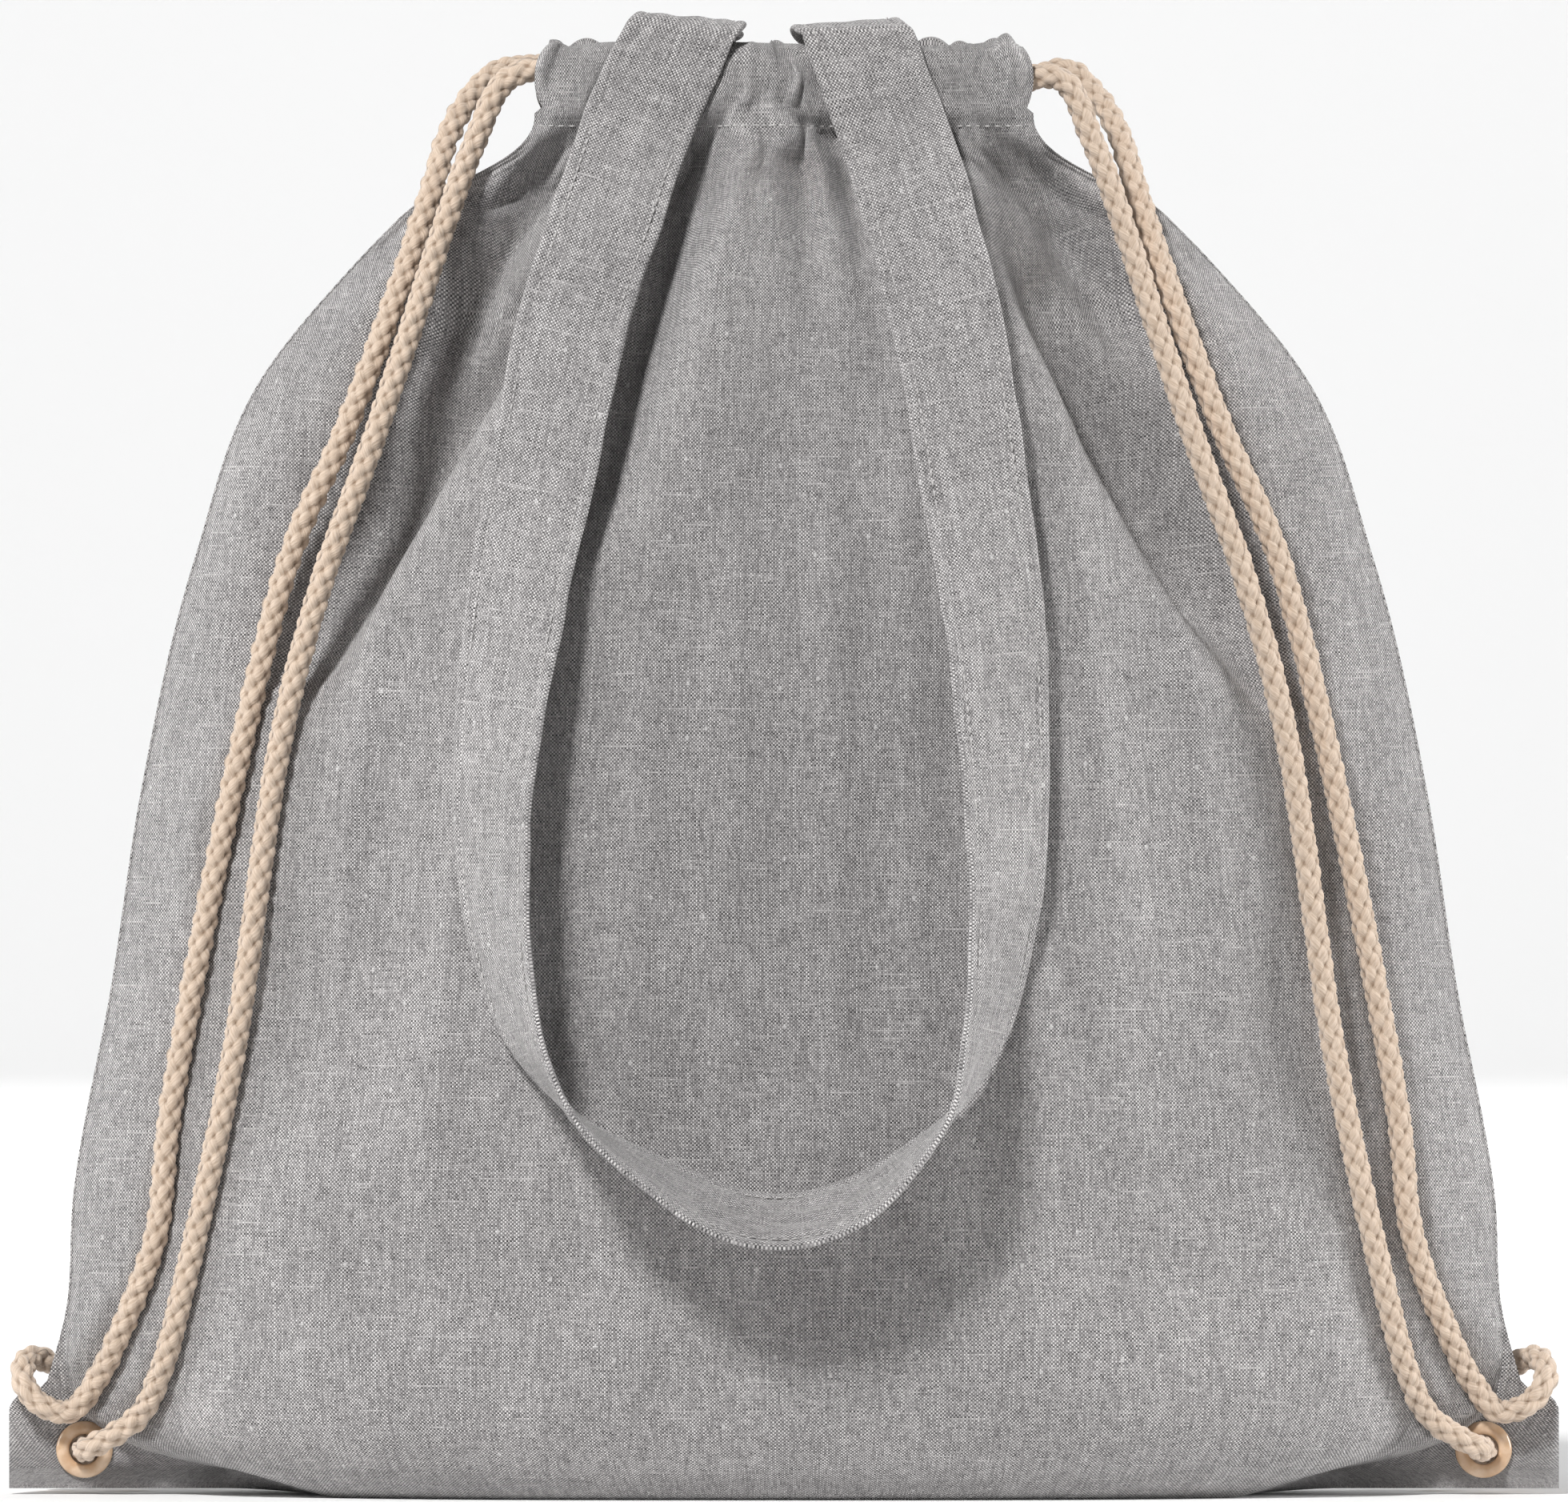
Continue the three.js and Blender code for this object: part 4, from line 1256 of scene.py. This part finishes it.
def press_needed(outer, facing, piece, top):
    """How far back each point of the outer face has to go to lie behind a piece, which lies outside
    the cloth up to the height top."""
    need = np.zeros(outer.shape[:2])
    tree = BVHTree.FromObject(piece, bpy.context.evaluated_depsgraph_get())
    for row in range(BASE_ROWS, BASE_ROWS + WALL_ROWS + OVER_ROWS // 2):
        for column in range(cloth_columns):
            x, y, z = outer[row, column]
            by_eyelet = abs(abs(x) - EYELET_X) < NEAR_EYELET and z < EYELET_Z + NEAR_EYELET
            if by_eyelet or not LOWEST_PRESS < z < top:
                continue
            inside = INSIDE_CASING_Y if z > CASING_FROM_Z else INSIDE_BAG_Y
            start = Vector((x, -facing * inside, z))
            hit = tree.ray_cast(start, Vector((0, -facing, 0)), FARTHEST_PRESS)[0]
            if hit is None:
                continue
            behind = (y - hit.y) * -facing + PRESS_CLEAR
            if 0 < behind < DEEPEST_PRESS:
                need[row, column] = behind
    return need


def settle(cloth, facing, pieces):
    """Moves the cloth back wherever a piece that lies on it would cut it, and eases the dent out."""
    points = all_points(cloth)
    count = cloth_rows * cloth_columns
    outer = points[:count].reshape(cloth_rows, cloth_columns, 3)
    need = np.max([press_needed(outer, facing, piece, top) for piece, top in pieces], axis=0)
    step = np.linalg.norm(np.diff(outer, axis=1), axis=2).mean()
    neighbours = [(shift, axis) for axis in (0, 1) for shift in (-1, 1)]
    for _ in range(PRESS_SPREADS):
        for shift, axis in neighbours:
            need = np.maximum(need, np.roll(need, shift, axis) - PRESS_SLOPE * step)
    for _ in range(PRESS_SMOOTHINGS):
        around = sum(np.roll(need, shift, axis) for shift, axis in neighbours) / 4
        need = np.maximum(need, around)
    over_the_cords = np.arange(cloth_rows)[:, None] >= HEM_ROW
    room = np.where(over_the_cords, -CORD_FRONT_Y - outer[..., 1] * facing, 1)
    need = np.minimum(need, np.maximum(room, 0))
    moved = need.ravel() * facing
    points[:count, 1] += moved
    points[count:, 1] += moved
    points[:, 1] = facing * np.minimum(facing * points[:, 1], -HALF_GAP)
    cloth.data.vertices.foreach_set("co", points.ravel())
    cloth.data.update()


cords_on_front = [(cords[name][0], HEM_Z) for name in ("left", "right")]
settle(front_cloth, 1, [(handles["front"], 1)] + cords_on_front)
settle(back_cloth, -1, [(handles["back"], 1)])

# ---- Sewing ----
#
# Pale cotton thread holds it together: a lockstitch along the hem below each casing, down the side
# seams, and close to both edges of the handles.

THREAD_RADIUS = 0.00026
SEAM_THREAD_RADIUS = 0.7 * THREAD_RADIUS
STITCH_LENGTH = 0.0026
STITCH_GAP = 0.22
STITCH_DIP = 1.6
STITCH_STAND = 0.2
STITCH_RINGS = 5
STITCH_SIDES = 6
GROOVE_DEPTH = 0.0003
SEAM_COLUMN = FLAT_COLUMNS // 2
SEAM_ROWS = slice(BASE_ROWS + 26, BASE_ROWS + WALL_ROWS - 8)
THREAD_SHADE = (0.38, 0.37, 0.365)
THREAD_PALE = (0.62, 0.6, 0.59)
THREAD_RELIEF = 0.00008


def sew(name, line, out, radius):
    """Stitches along a line of points, each a spindle that dips into the cloth at both ends."""
    length = travelled(line)
    count = int(length[-1] / STITCH_LENGTH)
    share = np.linspace(0, 1, STITCH_RINGS)
    stitch = np.arange(count)[:, None] + STITCH_GAP / 2
    at = (stitch + share[None, :] * (1 - STITCH_GAP)) * STITCH_LENGTH
    middle = np.stack([np.interp(at, length, line[:, k]) for k in range(3)], -1)
    up = unit(np.stack([np.interp(at, length, out[:, k]) for k in range(3)], -1))
    sideways = np.cross(unit(np.gradient(middle, axis=1)), up)
    reach = radius * np.sqrt(np.maximum(0.03, 1 - (2 * share - 1) ** 2))
    dip = -radius * STITCH_DIP * (2 * share - 1) ** 4
    middle = middle + up * (dip + STITCH_STAND * radius)[None, :, None]
    angle = np.linspace(0, 2 * math.pi, STITCH_SIDES + 1)[:-1]
    points = (
        middle[:, :, None, :]
        + sideways[:, :, None, :] * (reach[:, None] * np.cos(angle))[None, :, :, None]
        + up[:, :, None, :] * (reach[:, None] * np.sin(angle))[None, :, :, None]
    )
    first = (np.arange(count) * STITCH_RINGS * STITCH_SIDES)[:, None, None]
    faces = (tube_quads(STITCH_RINGS, STITCH_SIDES)[None] + first).reshape(-1, 4)
    piece = mesh_piece(name, points.reshape(-1, 3), faces)
    close_ends(piece)
    piece.data.materials.append(thread_cotton)
    return piece


thread_cotton, shader, start = new_material("sewing_thread", Roughness=0.8)
where = start.node("TexCoord", "Object")
twist = where.node("TexNoise", 0, (), {"Vector": where, "Scale": 2400.0, "Detail": 2.0})
tone = twist.between(0.3, 0.7).blend(THREAD_SHADE, THREAD_PALE)
colour_and_bump(shader, tone, twist, THREAD_RELIEF)

for cloth, facing, half in ((front_cloth, 1, "front"), (back_cloth, -1, "back")):
    surface = all_points(cloth)[: cloth_rows * cloth_columns].reshape(cloth_rows, cloth_columns, 3)
    normal = grid_normals(surface) * facing
    along_hem = (HEM_ROW, slice(FLAT_COLUMNS, -FLAT_COLUMNS))
    hem = sew(f"{half}_hem_stitches", surface[along_hem], normal[along_hem], THREAD_RADIUS)
    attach(hem, "root")
    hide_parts(f"{half}_hem_thread")
    for side, column in (("left", SEAM_COLUMN), ("right", cloth_columns - 1 - SEAM_COLUMN)):
        up_side = (SEAM_ROWS, column)
        name = f"{half}_{side}_seam_stitches"
        seam = sew(name, surface[up_side], normal[up_side], SEAM_THREAD_RADIUS)
        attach(seam, "root")
        if (half, side) in (("front", "right"), ("back", "left")):
            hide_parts(f"{side}_seam_thread")

for half in ("front", "back"):
    middles, wides, faces_out = whole_handle(BACK_SHIFT if half == "back" else 0)
    turn = np.array(HALF_TURN if half == "back" else (1, 1, 1))
    for side, edge in ((-1, "inner"), (1, "outer")):
        for face, face_word in ((1, "face"), (-1, "reverse")):
            across = wides * side * (HANDLE_WIDTH / 2 - STITCH_INSET)
            line = middles + across + faces_out * face * (HANDLE_HALF_THICKNESS - GROOVE_DEPTH)
            name = f"{half}_handle_{edge}_{face_word}_stitches"
            stitches = sew(name, line * turn, faces_out * face * turn, THREAD_RADIUS)
            bend_over_rim(stitches, half)

# ---- Floor, light and camera ----
#
# The bag stands on a wide sheet of pale studio paper that curves up into a wall behind it. A small
# softbox high on the left is the main light, two weak ones fill the sides, and one lights the paper.

FLOOR_HALF = 9.0
WALL_START = 6.5
WALL_TOP = 6.0
CURVE_RADIUS = 2.0
CURVE_STEPS = 24
PAPER_IN_FRONT = (0.28, 0.28, 0.28)
PAPER_BEHIND = (0.93, 0.93, 0.93)
PAPER_CHANGES_Y = (-0.7, -0.1)
BAG_MIDDLE = (0, 0, 0.18)
WALL_FOOT = (0, 5.5, 0.3)
ROOM_STRENGTH = 0.10
LENS = 468
SENSOR_WIDTH = 36
VIEWER_PLACE = (0, -5.0, 0.1822)

turn = np.linspace(0, math.pi / 2, CURVE_STEPS)
wall_y = WALL_START + CURVE_RADIUS
y = np.concatenate([[-FLOOR_HALF], WALL_START + CURVE_RADIUS * np.sin(turn), [wall_y]])
z = np.concatenate([[0], CURVE_RADIUS * (1 - np.cos(turn)), [WALL_TOP]])
sides = (-FLOOR_HALF, FLOOR_HALF)
points = np.array([(x, depth, height) for depth, height in zip(y, z) for x in sides])
floor = mesh_piece("studio_floor", points, grid_quads(len(y), 2))
paper, shader, start = new_material("pale_paper", Roughness=0.9)
behind = start.node("TexCoord", "Object").part(1).between(*PAPER_CHANGES_Y)
behind.blend(PAPER_IN_FRONT, PAPER_BEHIND).feed(shader.inputs["Base Color"])
floor.data.materials.append(paper)


def soft_light(name, place, aim, size, power):
    light = bpy.data.lights.new(name, "AREA")
    light.shape = "RECTANGLE"
    light.size, light.size_y = size
    light.energy = power
    lamp = bpy.data.objects.new(name, light)
    lamp.location = place
    lamp.rotation_euler = (Vector(aim) - Vector(place)).to_track_quat("-Z", "Y").to_euler()
    bpy.context.scene.collection.objects.link(lamp)


soft_light("key_softbox", (-0.8, -1.65, 1.85), BAG_MIDDLE, (0.35, 0.35), 62)
soft_light("left_softbox", (-1.6, -0.1, 0.5), BAG_MIDDLE, (0.6, 0.7), 9)
soft_light("right_softbox", (1.6, 0.0, 0.4), BAG_MIDDLE, (0.6, 0.7), 22)
soft_light("backdrop_light", (0, 2.6, 3.2), WALL_FOOT, (5.0, 2.0), 300)
room = bpy.data.worlds.new("studio_room")
room.use_nodes = True
room.node_tree.nodes["Background"].inputs["Color"].default_value = (1, 1, 1, 1)
room.node_tree.nodes["Background"].inputs["Strength"].default_value = ROOM_STRENGTH
bpy.context.scene.world = room

camera = bpy.data.cameras.new("camera")
camera.sensor_width = SENSOR_WIDTH
camera.lens = LENS
viewer = bpy.data.objects.new("camera", camera)
viewer.location = VIEWER_PLACE
viewer.rotation_euler = (math.pi / 2, 0, 0)
bpy.context.scene.collection.objects.link(viewer)
bpy.context.scene.camera = viewer
bpy.context.scene.view_settings.view_transform = "Standard"
